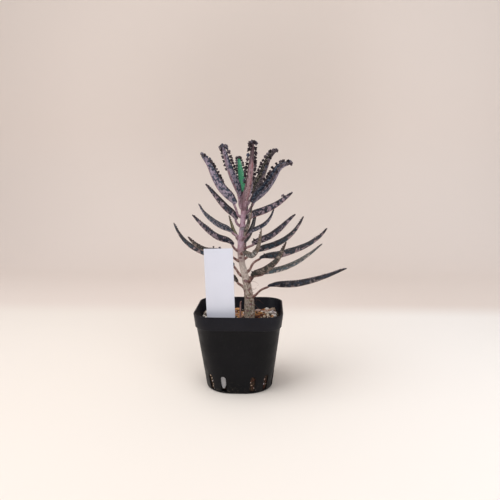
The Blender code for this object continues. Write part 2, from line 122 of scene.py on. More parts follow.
# %% Node helpers
def shade(red, green, blue):
    """A colour picked from 0 to 255, as the linear values that shaders take."""
    linear = []
    for value in (red, green, blue):
        part = value / 255
        linear.append(part / 12.92 if part <= 0.04045 else ((part + 0.055) / 1.055) ** 2.4)
    return (*linear, 1)


def node(tree, kind, inputs=None, **settings):
    """A shader node. An input that is another node's output is wired to it, and others are values."""
    made = tree.nodes.new("ShaderNode" + kind)
    for name, value in settings.items():
        setattr(made, name, value)
    for name, value in (inputs or {}).items():
        if isinstance(value, bpy.types.NodeSocket):
            tree.links.new(value, made.inputs[name])
        else:
            made.inputs[name].default_value = value
    return made


# %% Values and colours of a finish
def object_place(tree):
    """The place on the object, in metres, that most patterns read."""
    return node(tree, "TexCoord").outputs["Object"]


def attribute(tree, name):
    """A number that the mesh carries on its points."""
    return node(tree, "Attribute", attribute_name=name).outputs["Fac"]


def height_of(tree, vector):
    """The height above the table, in metres."""
    return node(tree, "SeparateXYZ", {0: vector}).outputs["Z"]


def scaled(tree, vector, scale, turn=0.0):
    """A place stretched and turned, for a pattern with a grain."""
    inputs = {"Vector": vector, "Rotation": (0, 0, turn), "Scale": scale}
    return node(tree, "Mapping", inputs).outputs[0]


def clouds(tree, vector, scale, detail=3.0, distortion=0.0):
    """A soft noise from about 0.3 to 0.7."""
    inputs = {"Vector": vector, "Scale": scale, "Detail": detail, "Distortion": distortion}
    return node(tree, "TexNoise", inputs).outputs["Fac"]


def ramp(tree, factor, *stops):
    """Colours along a factor: each stop is (position, colour)."""
    made = node(tree, "ValToRGB", {"Fac": factor})
    elements = made.color_ramp.elements
    while len(elements) < len(stops):
        elements.new(0.5)
    for element, (position, colour) in zip(elements, stops):
        element.position = position
        element.color = shade(*colour)
    return made.outputs["Color"]


def window(tree, value, low, high, to_low=0.0, to_high=1.0):
    """A value's smooth way from low to high, as 0 to 1 or as the two ends given."""
    inputs = {"Value": value, "From Min": low, "From Max": high, "To Min": to_low, "To Max": to_high}
    made = node(tree, "MapRange", inputs, interpolation_type="SMOOTHSTEP")
    return made.outputs["Result"]


def product(tree, first, second):
    """Two values multiplied, so that one holds the other back."""
    return node(tree, "Math", {0: first, 1: second}, operation="MULTIPLY").outputs[0]


def raised(tree, base, extra, factor):
    """A base value raised by a factor of another."""
    return node(tree, "Math", {0: extra, 1: factor, 2: base}, operation="MULTIPLY_ADD").outputs[0]


def mixed(tree, share, first, second):
    """The first colour turning into the second by a share."""
    ends = [end if isinstance(end, bpy.types.NodeSocket) else shade(*end) for end in (first, second)]
    return node(tree, "Mix", {0: share, 6: ends[0], 7: ends[1]}, data_type="RGBA").outputs[2]


# %% Bumps and the finish itself
def bumped(tree, height, distance, strength=1.0, under=None):
    """Normals raised by a height, on top of another bump where there is one under it."""
    inputs = {"Height": height, "Distance": distance, "Strength": strength}
    if under is not None:
        inputs["Normal"] = under
    return node(tree, "Bump", inputs).outputs["Normal"]


def finish(name, build, roughness=0.5, specular=0.5):
    """A new material. build(tree) returns what it wires: colour, roughness or normal."""
    made = bpy.data.materials.new(name)
    made.use_nodes = True
    tree = made.node_tree
    shader = tree.nodes["Principled BSDF"]
    shader.inputs["Roughness"].default_value = roughness
    shader.inputs["Specular IOR Level"].default_value = specular
    for socket, value in build(tree).items():
        tree.links.new(value, shader.inputs[socket])
    return made


# %% [markdown]
# ## Small helpers for meshes
# Three kinds of shape come back in this plant. A loft is one face that is extruded from ring to
# ring, as for the pot. A rolled sheet is a grid that is bent round and joined along its side, as for
# the stem and the leaves, and its rows and columns can carry notes for the material. A scatter
# copies a small shape many times into one mesh, each copy with a tone of its own.

# %% Mesh helpers
def smooth(value):
    """0 below 0, 1 above 1, and a soft way in between."""
    share = min(max(value, 0), 1)
    return share * share * (3 - 2 * share)


def reading(values, share):
    """The value at a share of the way along evenly spaced values."""
    place = min(max(share, 0), 1) * (len(values) - 1)
    index = min(int(place), len(values) - 2)
    part = place - index
    return values[index] * (1 - part) + values[index + 1] * part


def piece(name, bm, look, slot, *stands_for, flat=False):
    """The finished mesh as an object that rides with the plant and stands for the nodes named."""
    mesh = bpy.data.meshes.new(name)
    bm.to_mesh(mesh)
    bm.free()
    mesh.materials.append(look)
    if not flat:
        mesh.shade_smooth()
    made = shown(name, mesh)
    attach(made, "root")
    if stands_for:
        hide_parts(*stands_for)
    return made


# %% Lofts and rolled sheets
def only(kind, items):
    """The items of one kind, out of all that an operator gives back."""
    return [item for item in items if isinstance(item, kind)]


def drawn_out(bm, shift):
    """A flat shape extruded by a shift into a closed plate or bar."""
    made = bmesh.ops.extrude_face_region(bm, geom=bm.faces[:])["geom"]
    bmesh.ops.translate(bm, verts=only(bmesh.types.BMVert, made), vec=shift)
    bmesh.ops.recalc_face_normals(bm, faces=bm.faces)


def loft(rings):
    """A closed solid through rings of equally many points, extruded from one to the next."""
    bm = bmesh.new()
    first = bm.faces.new([bm.verts.new(point) for point in rings[0]])
    cap = first
    for ring in rings[1:]:
        made = bmesh.ops.extrude_face_region(bm, geom=[cap])["geom"]
        if cap is not first:
            bm.faces.remove(cap)
        cap = only(bmesh.types.BMFace, made)[0]
        for vert, point in zip(cap.verts, ring):
            vert.co = point
    bmesh.ops.recalc_face_normals(bm, faces=bm.faces)
    return bm


def rolled(columns, rows, place, notes, pattern=None):
    """A grid bent into a closed tube.

    place(column, row) is each point, and notes(column, row) its values by attribute name.
    pattern(column, row, side) gives the map's coordinates, where side is the face's column.
    """
    bm = bmesh.new()
    bmesh.ops.create_grid(bm, x_segments=columns, y_segments=rows - 1, size=0.5)
    layers = {name: bm.verts.layers.float.new(name) for name in notes(0, 0)}
    layer = bm.loops.layers.uv.new("Pattern") if pattern else None
    where = {}
    for vert in bm.verts:
        column = round((vert.co.x + 0.5) * columns)
        row = round((vert.co.y + 0.5) * (rows - 1))
        where[vert] = (column, row)
    if pattern:
        for face in bm.faces:
            side = min(where[loop.vert][0] for loop in face.loops)
            for loop in face.loops:
                loop[layer].uv = pattern(*where[loop.vert], side)
    seam = {}
    by_place = {spot: vert for vert, spot in where.items()}
    for vert, (column, row) in where.items():
        vert.co = place(column % columns, row)
        for name, value in notes(column % columns, row).items():
            vert[layers[name]] = value
        if column == columns:
            seam[vert] = by_place[(0, row)]
    bmesh.ops.weld_verts(bm, targetmap=seam)
    bmesh.ops.holes_fill(bm, edges=[edge for edge in bm.edges if edge.is_boundary])
    bmesh.ops.recalc_face_normals(bm, faces=bm.faces)
    return bm


# %% Scattered copies
def scatter(shapes, copies):
    """One mesh of many copies: each is (index of its shape, matrix, tone)."""
    bm = bmesh.new()
    tone_layer = bm.verts.layers.float.new("tone")
    for index, matrix, tone in copies:
        before = len(bm.verts)
        bm.from_mesh(shapes[index])
        bm.verts.ensure_lookup_table()
        fresh = bm.verts[before:]
        bmesh.ops.transform(bm, matrix=matrix, verts=fresh)
        for vert in fresh:
            vert[tone_layer] = tone
    return bm


def as_shape(bm):
    """A small mesh to be copied."""
    mesh = bpy.data.meshes.new("shape")
    bm.to_mesh(mesh)
    bm.free()
    return mesh


# %% [markdown]
# ## Floor
# A studio puts a paper sheet under a thing and curves it up behind, so that no line crosses the
# picture. Here it is a straight edge that is spun a quarter turn for the curve and extruded for the
# flat parts. A plane would do from above, but its far edge would show from the side.

# %% Floor
FLOOR_WIDE = 6.0
FLOOR_FRONT = -3.5
WALL_BACK = 0.95
CURVE = 0.35
WALL_HIGH = 2.2
WALL_MIDDLE = (-0.03, 0.95, 0.42)
FLOOR_BACK = WALL_BACK - CURVE

floor_mesh = bmesh.new()
line = [floor_mesh.verts.new((x, FLOOR_BACK, 0)) for x in (-FLOOR_WIDE / 2, FLOOR_WIDE / 2)]
edge = floor_mesh.edges.new(line)
flat = bmesh.ops.extrude_edge_only(floor_mesh, edges=[edge])["geom"]
forward = (0, FLOOR_FRONT - FLOOR_BACK, 0)
bmesh.ops.translate(floor_mesh, verts=only(bmesh.types.BMVert, flat), vec=forward)
curve = bmesh.ops.spin(
    floor_mesh, geom=[edge, *line], axis=(1, 0, 0), cent=(0, FLOOR_BACK, CURVE),
    angle=math.radians(90), steps=16, use_merge=False, use_duplicate=False,
)["geom_last"]
wall = bmesh.ops.extrude_edge_only(floor_mesh, edges=only(bmesh.types.BMEdge, curve))["geom"]
bmesh.ops.translate(floor_mesh, verts=only(bmesh.types.BMVert, wall), vec=(0, 0, WALL_HIGH - CURVE))


# %% Floor finish
def floor_look(tree):
    vector = object_place(tree)
    place = node(tree, "SeparateXYZ", {0: vector}).outputs
    cloudy = clouds(tree, vector, 1.5, 1.0)
    near = ramp(tree, cloudy, (0.3, (238, 229, 220)), (0.7, (240, 232, 224)))
    # Painted light: the near floor grows lighter towards the right.
    near_painted_light = mixed(tree, window(tree, place["X"], -0.05, 0.35), near, (253, 249, 245))
    far = ramp(tree, cloudy, (0.3, (232, 219, 211)), (0.7, (235, 223, 215)))
    # Painted shade: the wall is darker round its middle, where the lamps fall most on it.
    away = node(tree, "VectorMath", {0: vector, 1: WALL_MIDDLE}, operation="DISTANCE").outputs["Value"]
    far_painted_shade = mixed(tree, window(tree, away, 0.50, 0.05), far, (221, 209, 201))
    # Painted light: the wall grows lighter towards the right.
    wide = mixed(tree, window(tree, place["X"], 0.15, 0.60), far_painted_shade, (244, 233, 226))
    # Painted shade: the wall is darker than the floor, from where the sheet turns up.
    return {"Base Color": mixed(tree, window(tree, place["Y"], 0.26, 0.36), near_painted_light, wide)}


floor_data = bpy.data.meshes.new("floor")
floor_mesh.to_mesh(floor_data)
floor_mesh.free()
floor_data.materials.append(finish("floor", floor_look, roughness=0.9, specular=0.2))
floor_data.shade_smooth()
floor = shown("floor", floor_data)

# %% [markdown]
# ## The pot
# A square nursery pot is pressed from thin black plastic: a body that narrows to the foot, a plain
# band at the rim with a small step under it, and drain slots round the foot's corners. The shell is
# a loft of rounded squares, up the outside and down the inside, with a little rounding at the lip,
# the step and the foot. A bevelled cube with a Solidify would be quicker, but its wall, band and lip
# couldn't be set one by one. A Boolean cuts the slots, as a die leaves them open.

# %% Pot sizes
POT_HEIGHT = 83 * MM
RIM_WIDTH = 90 * MM
RIM_CORNER = 19.5 * MM
BAND_HEIGHT = 14 * MM
BAND_TAPER = 1.5 * MM
BAND_STEP = 1.2 * MM
FOOT_WIDTH = 69 * MM
FOOT_CORNER = 29 * MM
WALL = 1.2 * MM
GAP = 0.3 * MM
CORNER_STEPS = 14
SLOT_WIDTH = 5.5 * MM
SLOT_HEIGHT = 17 * MM
SLOT_START = 2 * MM
SLOT_CUT = 12 * MM  # how far the cutting bar reaches
SLOT_CUT_INSIDE = 4 * MM
FOOT_RECESS = 0.9 * MM
FLOOR_THICK = 2.1 * MM
LABEL_SLOT = 247  # degrees from +X of the slot before the label's point
SLOT_TURNS = [corner + turn for corner in (45, 135, 225, 315) for turn in (-22, 0, 22)]
BAND_FOOT = POT_HEIGHT - BAND_HEIGHT
BAND_WIDTH = RIM_WIDTH - 2 * BAND_TAPER


# %% The shell
def rounded_square(width, corner, height):
    """A ring of points round a square with round corners."""
    points = []
    for quarter in range(4):
        turn = math.radians(90 * quarter)
        centre = Vector((width / 2 - corner, width / 2 - corner, 0))
        centre.rotate(Matrix.Rotation(turn, 3, "Z"))
        for step in range(CORNER_STEPS + 1):
            angle = turn + math.radians(90 * step / CORNER_STEPS)
            points.append(centre + Vector((math.cos(angle), math.sin(angle), 0)) * corner + UP * height)
    return points


def body_size(height, inwards=0.0):
    """Width and corner radius of the pot's tapering body at a height, outside or this far inwards."""
    share = height / BAND_FOOT
    width = FOOT_WIDTH + (BAND_WIDTH - 2 * BAND_STEP - FOOT_WIDTH) * share
    corner = FOOT_CORNER + (RIM_CORNER - BAND_STEP - FOOT_CORNER) * share
    return width - 2 * inwards, corner - inwards


def body_ring(height, inwards=0.0):
    """The body's outline at a height."""
    return rounded_square(*body_size(height, inwards), height)


def band_ring(height, inwards=0.0):
    """The band at a height, outside or this far inwards."""
    share = (height - BAND_FOOT) / BAND_HEIGHT
    width = BAND_WIDTH + (RIM_WIDTH - BAND_WIDTH) * share
    return rounded_square(width - 2 * inwards, RIM_CORNER - inwards, height)


FOOT_ROUND = [(0, 1.6), (0.25, 0.75), (0.8, 0.2), (1.8, 0)]
STEP_ROUND = [(0.0, 0.55), (0.12, 0.2), (0.45, 0.0)]
LIP_ROUND = [(0.45, 0.0), (0.15, 0.12), (0.0, 0.42), (0.0, 0.78), (0.15, 1.08), (0.45, 1.2)]
rings = [body_ring(FOOT_RECESS, 9 * MM), body_ring(FOOT_RECESS, 5 * MM), body_ring(0, 4.2 * MM)]
rings += [body_ring(high * MM, inwards * MM) for high, inwards in FOOT_ROUND]
rings += [body_ring(BAND_FOOT * share) for share in (0.25, 0.5, 0.75)]
rings += [body_ring(BAND_FOOT - 0.5 * MM), body_ring(BAND_FOOT, -0.35 * MM)]
rings += [band_ring(BAND_FOOT + high * MM, inwards * MM) for high, inwards in STEP_ROUND]
rings += [band_ring(BAND_FOOT + BAND_HEIGHT * 0.5)]
rings += [band_ring(POT_HEIGHT - low * MM, inwards * MM) for low, inwards in LIP_ROUND]
rings += [band_ring(BAND_FOOT + WALL + 0.5 * MM, WALL), body_ring(BAND_FOOT, WALL)]
rings += [body_ring(BAND_FOOT * share, WALL) for share in (0.66, 0.33)]
rings += [body_ring(3 * MM, WALL + 0.2 * MM), body_ring(FLOOR_THICK, 2.6 * MM)]
pot_mesh = loft(rings)


# %% Drain slots
def slot_cutter(turn):
    """A round-topped bar through the wall for one drain slot, this many degrees from +X."""
    bm = bmesh.new()
    straight = SLOT_HEIGHT - SLOT_WIDTH / 2
    outline = [Vector((-SLOT_WIDTH / 2, 0, 0)), Vector((SLOT_WIDTH / 2, 0, 0))]
    for step in range(CORNER_STEPS + 1):
        angle = math.pi * step / CORNER_STEPS
        across, rise = math.cos(angle) * SLOT_WIDTH / 2, math.sin(angle) * SLOT_WIDTH / 2
        outline.append(Vector((across, 0, straight + rise)))
    bm.faces.new([bm.verts.new(point) for point in outline])
    drawn_out(bm, (0, SLOT_CUT, 0))
    out = Matrix.Translation((0, FOOT_WIDTH / 2 - SLOT_CUT_INSIDE, SLOT_START))
    bmesh.ops.transform(bm, matrix=Matrix.Rotation(math.radians(turn - 90), 4, "Z") @ out, verts=bm.verts)
    return bm


def combine(bm, others, operation, solver="EXACT"):
    """bm with the other meshes cut out of it, or cut down to what it shares with them."""
    objects = [bpy.data.objects.new("cut", as_shape(mesh)) for mesh in (bm, *others)]
    main, *rest = objects
    bpy.context.scene.collection.objects.link(main)
    group = bpy.data.collections.new("others")
    for other in rest:
        group.objects.link(other)
    boolean = main.modifiers.new("combine", "BOOLEAN")
    boolean.operation = operation
    boolean.solver = solver
    boolean.operand_type = "COLLECTION"
    boolean.collection = group
    result = bmesh.new()
    result.from_object(main, bpy.context.evaluated_depsgraph_get())
    for made in objects:
        bpy.data.objects.remove(made)
    bpy.data.collections.remove(group)
    return result


pot_mesh = combine(pot_mesh, [slot_cutter(turn) for turn in SLOT_TURNS], "DIFFERENCE")
print("pot faces:", len(pot_mesh.faces))


# %% [markdown]
# ## Black plastic
# The plastic is satin, not glossy. Close up it has a fine leathery grain from the mould, faint
# upright scuffs, and a little pale dust and lime near the foot. The scuffs are a noise that is
# stretched upwards, and the dust is a noise that is held back by height. Both could be painted, but a
# formula needs no picture and stays sharp up close.

# %% Pot finish
def pot_look(tree):
    vector = object_place(tree)
    height = height_of(tree, vector)
    upright = scaled(tree, vector, (1, 1, 0.12))
    scuffs = window(tree, clouds(tree, upright, 900, 4), 0.58, 0.78)
    dust = window(tree, clouds(tree, vector, 420, 5, 0.3), 0.56, 0.74)
    low = window(tree, height, 0.016, 0.0, 0.02, 0.35)
    body = ramp(tree, clouds(tree, vector, 40), (0.3, (8, 8, 12)), (0.7, (11, 11, 16)))
    # Painted light: the band above the step is coloured lighter than the body, as the front lamps fall on
    # it more.
    band = ramp(tree, clouds(tree, vector, 60), (0.3, (20, 20, 27)), (0.7, (25, 25, 32)))
    plastic = mixed(tree, window(tree, height, 0.0685, 0.0695), body, band)
    worn = mixed(tree, product(tree, scuffs, 0.2), plastic, (52, 51, 56))
    dusty = mixed(tree, product(tree, dust, low), worn, (120, 110, 98))
    grain = clouds(tree, vector, 2600, 2)
    rough = window(tree, clouds(tree, vector, 120), 0.3, 0.7, 0.38, 0.5)
    return {
        "Base Color": dusty,
        "Roughness": rough,
        "Normal": bumped(tree, grain, 0.05 * MM, 0.5),
    }


pot = piece("pot_shell", pot_mesh, finish("black_plastic", pot_look, specular=0.15), "pot", "pot")
pot.data.set_sharp_from_angle(angle=math.radians(40))

# %% [markdown]
# ## The potting mix
# A succulent's mix is mostly grit: bark chips, pumice and perlite held by a little dark compost.
# The bed is one solid with an uneven top. A flat grid is raised by two noises, extruded down to the
# pot's floor and cut down to the pot's inside. In front of the label's point it has a hollow, as
# loose mix leaves one there, so that the point shows through the slot before it.

# %% The bed
MIX_TOP = 69.5 * MM
BED_CELLS = 90
STEM_FOOT_PLACE = Vector((10.1 * MM, 3.4 * MM, 0))
HEAP_HEIGHT = 1.2 * MM
HEAP_WIDTH = 12 * MM
SWELL_HEIGHT = 1.3 * MM
CRUMB_HEIGHT = 0.9 * MM
LABEL_WIDTH = 28 * MM
LABEL_FOOT = Vector((-14.8 * MM, -28.6 * MM, 3.8 * MM))
HOLLOW_SIZE = (15 * MM, 12 * MM, 22 * MM)
HOLLOW_MOVE = Vector((0, -5.6 * MM, 8 * MM))


def bed_height(x, y):
    """The uneven top of the mix: a little heaped at the stem and rough all over."""
    heap = HEAP_HEIGHT * math.exp(-((Vector((x, y, 0)) - STEM_FOOT_PLACE).length / HEAP_WIDTH) ** 2)
    swell = noise.noise(Vector((x, y, 0)) * 90) * SWELL_HEIGHT
    crumb = noise.noise(Vector((x, y, 3)) * 420) * CRUMB_HEIGHT
    return MIX_TOP + heap + swell + crumb


bed = bmesh.new()
bmesh.ops.create_grid(bed, x_segments=BED_CELLS, y_segments=BED_CELLS, size=RIM_WIDTH / 2)
for vert in bed.verts:
    vert.co.z = bed_height(vert.co.x, vert.co.y)
lowered = bmesh.ops.extrude_face_region(bed, geom=bed.faces[:])["geom"]
for vert in only(bmesh.types.BMVert, lowered):
    vert.co.z = 0
bmesh.ops.recalc_face_normals(bed, faces=bed.faces)
bottom = FLOOR_THICK + GAP
inside = loft([body_ring(bottom, WALL + GAP), body_ring(BAND_FOOT + 6 * MM, WALL + GAP)])
bed = combine(bed, [inside], "INTERSECT", "MANIFOLD")
hollow = bmesh.new()
bmesh.ops.create_cube(hollow, size=1)
bmesh.ops.scale(hollow, vec=HOLLOW_SIZE, verts=hollow.verts)
bmesh.ops.translate(hollow, verts=hollow.verts, vec=LABEL_FOOT + HOLLOW_MOVE)
bed = combine(bed, [hollow], "DIFFERENCE", "MANIFOLD")
print("bed faces:", len(bed.faces))


# %% Compost
def compost_look(tree):
    vector = object_place(tree)
    crumbs = clouds(tree, vector, 700, 6, 0.3)
    colour = ramp(
        tree, crumbs, (0.3, (22, 17, 15)), (0.5, (48, 36, 29)), (0.64, (86, 66, 50)),
        (0.76, (150, 130, 106)),
    )
    return {"Base Color": colour, "Normal": bumped(tree, crumbs, 0.8 * MM, 0.9)}


compost = finish("compost", compost_look, roughness=0.95, specular=0.2)
piece("mix_bed", bed, compost, "soil", "potting_mix", flat=True)


# %% [markdown]
# ## Chips, pumice and grit
# Hundreds of loose pieces lie on the bed and show behind the slots. Each kind has a few different
# shapes: flakes of bark are split, flattened cubes, and pumice and grit are dented icospheres. A
# seeded draw places them, keeps them clear of the stem and the label, and gives each a tone. A
# particle system could strew them, but copies in one mesh stay where they are in every export.

# %% Shapes of the loose pieces
def dented(subdivisions, hollows, seed):
    """An icosphere of radius 1 whose corners are pushed in by up to the hollows' share."""
    rng = random.Random(seed)
    bm = bmesh.new()
    bmesh.ops.create_icosphere(bm, subdivisions=subdivisions, radius=1)
    for vert in bm.verts:
        vert.co *= rng.uniform(1 - hollows, 1)
    return as_shape(bm)


def flake(seed):
    """A split piece of bark: a cut cube, flat and longer than wide, with its corners off."""
    rng = random.Random(seed)
    bm = bmesh.new()
    bmesh.ops.create_cube(bm, size=2)
    bmesh.ops.subdivide_edges(bm, edges=bm.edges[:], cuts=1, use_grid_fill=True)
    for vert in bm.verts:
        pull = 0.72 if min(abs(vert.co.x), abs(vert.co.y), abs(vert.co.z)) > 0.5 else 1
        vert.co *= pull * rng.uniform(0.78, 1.05)
    bmesh.ops.scale(bm, vec=(1.0, 0.62, 0.30), verts=bm.verts)
    return as_shape(bm)


flakes = [flake(seed) for seed in range(5)]
pebbles = [dented(1, 0.42, seed) for seed in range(7)]
crumbs = [dented(1, 0.3, seed) for seed in range(5)]


# %% Place them
BED_SQUARE = 24 * MM  # from the middle to where the corners' rounding starts
BED_CORNER = 17.5 * MM
STEM_CLEAR = 6.2 * MM
LABEL_Y = -24.6 * MM  # the label's plane where it meets the bed
LABEL_CLEAR = 0.9 * MM
LAID_TURN = 2.4  # radians from one laid piece to the next


def inside_pot(x, y, clear):
    """True where a piece that keeps this clear of the wall fits."""
    past_x, past_y = max(abs(x) - BED_SQUARE, 0), max(abs(y) - BED_SQUARE, 0)
    return math.hypot(past_x, past_y) < BED_CORNER - clear


Area = namedtuple("Area", "left right front back tone_low tone_high")
ALL_OVER = Area(-42, 42, -42, 42, 0, 1)
PALE_HEAP = Area(18, 37, 0, 30, 0, 0.75)
LEFT_HEAP = Area(-40, -28, -2, 22, 0, 0.4)
DARK_BITS = Area(14, 21, 2, 16, 0, 0.25)
TAN_BITS = Area(-8, 4, 2, 22, 0.6, 0.85)


# %% Strewn over the bed
def on_bed(rng, size, area):
    """A random place on the bed that is clear of the stem and of the label."""
    while True:
        x, y = rng.uniform(area.left, area.right) * MM, rng.uniform(area.front, area.back) * MM
        by_stem = (Vector((x, y, 0)) - STEM_FOOT_PLACE).length < STEM_CLEAR + size
        beside, before = abs(x - LABEL_FOOT.x), abs(y - LABEL_Y)
        on_label = beside < LABEL_WIDTH / 2 + size and before < LABEL_CLEAR + size
        if inside_pot(x, y, size) and not (by_stem or on_label):
            return Vector((x, y, bed_height(x, y)))


def strewn(rng, count, shapes, sizes, sunk, squash, area=ALL_OVER):
    """Copies of the shapes lying at random on the bed, sunk by a share of their size."""
    copies = []
    for _ in range(count):
        size = rng.uniform(*sizes) * MM
        place = on_bed(rng, size, area) + UP * size * (0.5 - sunk)
        turn = Matrix.Rotation(rng.uniform(0, math.tau), 4, "Z")
        turn = turn @ Matrix.Rotation(rng.gauss(0, 0.35), 4, "X")
        wide, high = size * rng.uniform(0.55, 1), size * squash * rng.uniform(0.7, 1)
        shape = Matrix.Diagonal((size, wide, high, 1))
        tone = rng.uniform(area.tone_low, area.tone_high)
        copies.append((rng.randrange(len(shapes)), Matrix.Translation(place) @ turn @ shape, tone))
    return copies


# %% In the mix's side
def mix_edge(angle, height):
    """How far the mix reaches from the pot's middle at a height, in a direction near a corner."""
    width, corner = body_size(height, WALL + GAP)
    centre = width / 2 - corner
    turn = angle % (math.pi / 2)
    across = centre * (math.cos(turn) - math.sin(turn))
    return centre * (math.cos(turn) + math.sin(turn)) + math.sqrt(corner**2 - across**2)


def bedded(rng, turn, height, size, tone, shapes):
    """One piece in the mix's side: degrees from +X, height and size in metres."""
    angle = math.radians(turn)
    out = mix_edge(angle, height) - size + min(size * 0.6, WALL)
    place = Matrix.Translation((math.cos(angle) * out, math.sin(angle) * out, height))
    turned = Matrix.Rotation(rng.uniform(0, math.tau), 4, "Z")
    turned = turned @ Matrix.Rotation(rng.uniform(0, 3), 4, "X")
    shape = Matrix.Diagonal((size, size * 0.8, size * 0.7, 1))
    return rng.randrange(len(shapes)), place @ turned @ shape, tone


def behind_slots(rng, count, shapes, sizes, tone_high=1.0):
    """Copies of the shapes showing through the drain slots, except before the label's point."""
    copies = []
    for turn in SLOT_TURNS:
        for _ in range(count):
            size = rng.uniform(*sizes) * MM
            height = max(SLOT_START + rng.uniform(0, SLOT_HEIGHT), WALL + size * 1.1)
            if turn != LABEL_SLOT:
                tone = rng.uniform(0, tone_high)
                copies.append(bedded(rng, turn + rng.uniform(-4, 4), height, size, tone, shapes))
    return copies


# %% Put down one by one
def laid(pieces, shapes, squash):
    """Larger pieces put down one by one: x, y and size in mm, tone, and mm above the bed."""
    copies = []
    for number, (x, y, size, tone, lift) in enumerate(pieces):
        place = Vector((x * MM, y * MM, bed_height(x * MM, y * MM) + lift * MM))
        lean = 0.35 * math.sin(number * 3.1)
        turn = Matrix.Rotation(number * LAID_TURN, 4, "Z") @ Matrix.Rotation(lean, 4, "X")
        shape = Matrix.Diagonal((size * MM, size * 0.8 * MM, size * squash * MM, 1))
        copies.append((number % len(shapes), Matrix.Translation(place) @ turn @ shape, tone))
    return copies


# Pieces put down one by one: x, y and size in mm, tone, mm above the bed.
BARK_LAID = (
    (18.5, 8, 3.3, 0.58, 2.2), (21.5, 13, 3.3, 0.66, 3.4), (17.0, 4, 3.0, 0.10, 0.8),
    (19.5, 3, 3.0, 0.16, 1.2), (26.5, 17, 3.4, 0.92, 4.2), (22.5, 8, 2.8, 0.20, 1.8),
    (-1.5, 7, 3.3, 0.66, 1.2), (-4.0, 11, 3.0, 0.60, 1.6), (30.0, 20, 3.0, 0.85, 4.6),
    (24.0, 20, 3.0, 0.35, 4.2), (-33.0, 10, 3.0, 0.95, 2.0),
)
PUMICE_LAID = (
    (32.5, 15, 3.0, 0.05, 3.6), (35.0, 9, 2.4, 0.15, 2.4), (29.5, 8, 2.9, 0.45, 1.8),
    (25.5, 5, 2.6, 0.55, 1.2), (27.5, 12, 2.4, 0.35, 3.0), (23.0, 16, 2.0, 0.20, 4.0),
    (34.5, 20, 2.2, 0.95, 4.2), (-35.5, -3, 2.8, 0.05, 1.0), (36.8, 5, 2.8, 0.06, 2.4),
    (33.0, 4, 2.6, 0.35, 1.4), (38.0, 12, 2.2, 0.12, 3.4), (-38.5, 3, 2.2, 0.10, 1.6),
    (-32.0, 1, 2.2, 0.30, 1.0), (-36.0, 12, 2.0, 0.98, 2.6), (3.5, 12, 1.6, 0.10, 1.4),
)
# Bits seen in the front slots: degrees from +X, height in mm, size in mm, tone.
SLOT_PUMICE = (
    (223.0, 17.4, 2.0, 0.55), (225.0, 14.6, 2.1, 0.40), (226.6, 11.6, 2.1, 0.12),
    (224.4, 10.6, 1.8, 0.08), (226.4, 8.0, 1.9, 0.60), (225.0, 5.6, 1.7, 0.88),
    (290.6, 12.5, 1.5, 0.90), (292.0, 9.4, 1.9, 0.86), (313.6, 8.6, 2.2, 1.00),
)
SLOT_BARK = (
    (315.5, 14.0, 2.2, 0.90), (316.5, 10.5, 2.0, 0.25), (293.6, 6.5, 2.0, 0.28),
    (315.4, 5.0, 2.0, 0.10),
)

# %% Draw the copies
rng = random.Random(5)
bark_copies = strewn(rng, 150, flakes, (1.4, 3.6), 0.35, 1) + laid(BARK_LAID, flakes, 1)
bark_copies += strewn(rng, 14, flakes, (1.2, 2.4), 0.1, 1, DARK_BITS)
bark_copies += strewn(rng, 10, flakes, (2, 3.4), 0.1, 1, TAN_BITS)
bark_copies += strewn(rng, 26, flakes, (1.2, 2.6), -0.4, 1, PALE_HEAP)
bark_copies += behind_slots(rng, 4, flakes, (1.2, 2.2), 0.35)
pumice_copies = strewn(rng, 80, pebbles, (0.9, 2.3), 0.25, 0.8)
pumice_copies += strewn(rng, 30, pebbles, (0.8, 1.9), -0.4, 0.8, PALE_HEAP)
pumice_copies += strewn(rng, 16, pebbles, (0.9, 2.0), 0, 0.8, LEFT_HEAP) + laid(PUMICE_LAID, pebbles, 0.8)
pumice_copies += behind_slots(rng, 2, pebbles, (0.6, 1.1))
for copies, bits, shapes in ((bark_copies, SLOT_BARK, flakes), (pumice_copies, SLOT_PUMICE, pebbles)):
    for turn, height, size, tone in bits:
        copies.append(bedded(rng, turn, height * MM, size * MM, tone, shapes))
grit_copies = strewn(rng, 480, crumbs, (0.4, 1.0), 0.2, 0.8)
grit_copies += behind_slots(rng, 12, crumbs, (0.4, 0.8), 0.6)
print("loose pieces:", len(bark_copies), len(pumice_copies), len(grit_copies))


# %% [markdown]
# ## Bark, pumice and grit
# Up close no two pieces have one colour: bark goes from dark red to pale tan, and pumice from white
# to brown. A finish for each would be many materials. Instead each copy carries its tone as a number
# on its points, and one ramp a kind turns that number into a colour.

# %% Bark chips
def bark_look(tree):
    vector = object_place(tree)
    kind = ramp(
        tree, attribute(tree, "tone"), (0.0, (64, 28, 24)), (0.3, (96, 50, 36)), (0.5, (150, 94, 56)),
        (0.7, (208, 150, 92)), (0.9, (202, 170, 158)), (1.0, (120, 106, 94)),
    )
    streaks = clouds(tree, scaled(tree, vector, (1, 0.35, 1)), 1500, 5, 0.5)
    colour = mixed(tree, window(tree, streaks, 0.45, 0.7, 0, 0.6), kind, (44, 28, 22))
    return {"Base Color": colour, "Normal": bumped(tree, streaks, 0.4 * MM, 0.8)}


# %% Pumice and grit
def pumice_look(tree):
    vector = object_place(tree)
    kind = ramp(
        tree, attribute(tree, "tone"), (0.0, (238, 234, 232)), (0.3, (226, 212, 194)),
        (0.6, (206, 184, 160)), (0.85, (172, 150, 132)), (1.0, (205, 192, 200)),
    )
    cells = node(tree, "TexVoronoi", {"Vector": vector, "Scale": 1800}).outputs["Distance"]
    pores = window(tree, cells, 0, 0.4)
    stain = window(tree, clouds(tree, vector, 500, 4), 0.5, 0.75)
    colour = mixed(tree, product(tree, stain, 0.6), kind, (140, 112, 86))
    return {"Base Color": colour, "Normal": bumped(tree, pores, 0.3 * MM, 0.8)}


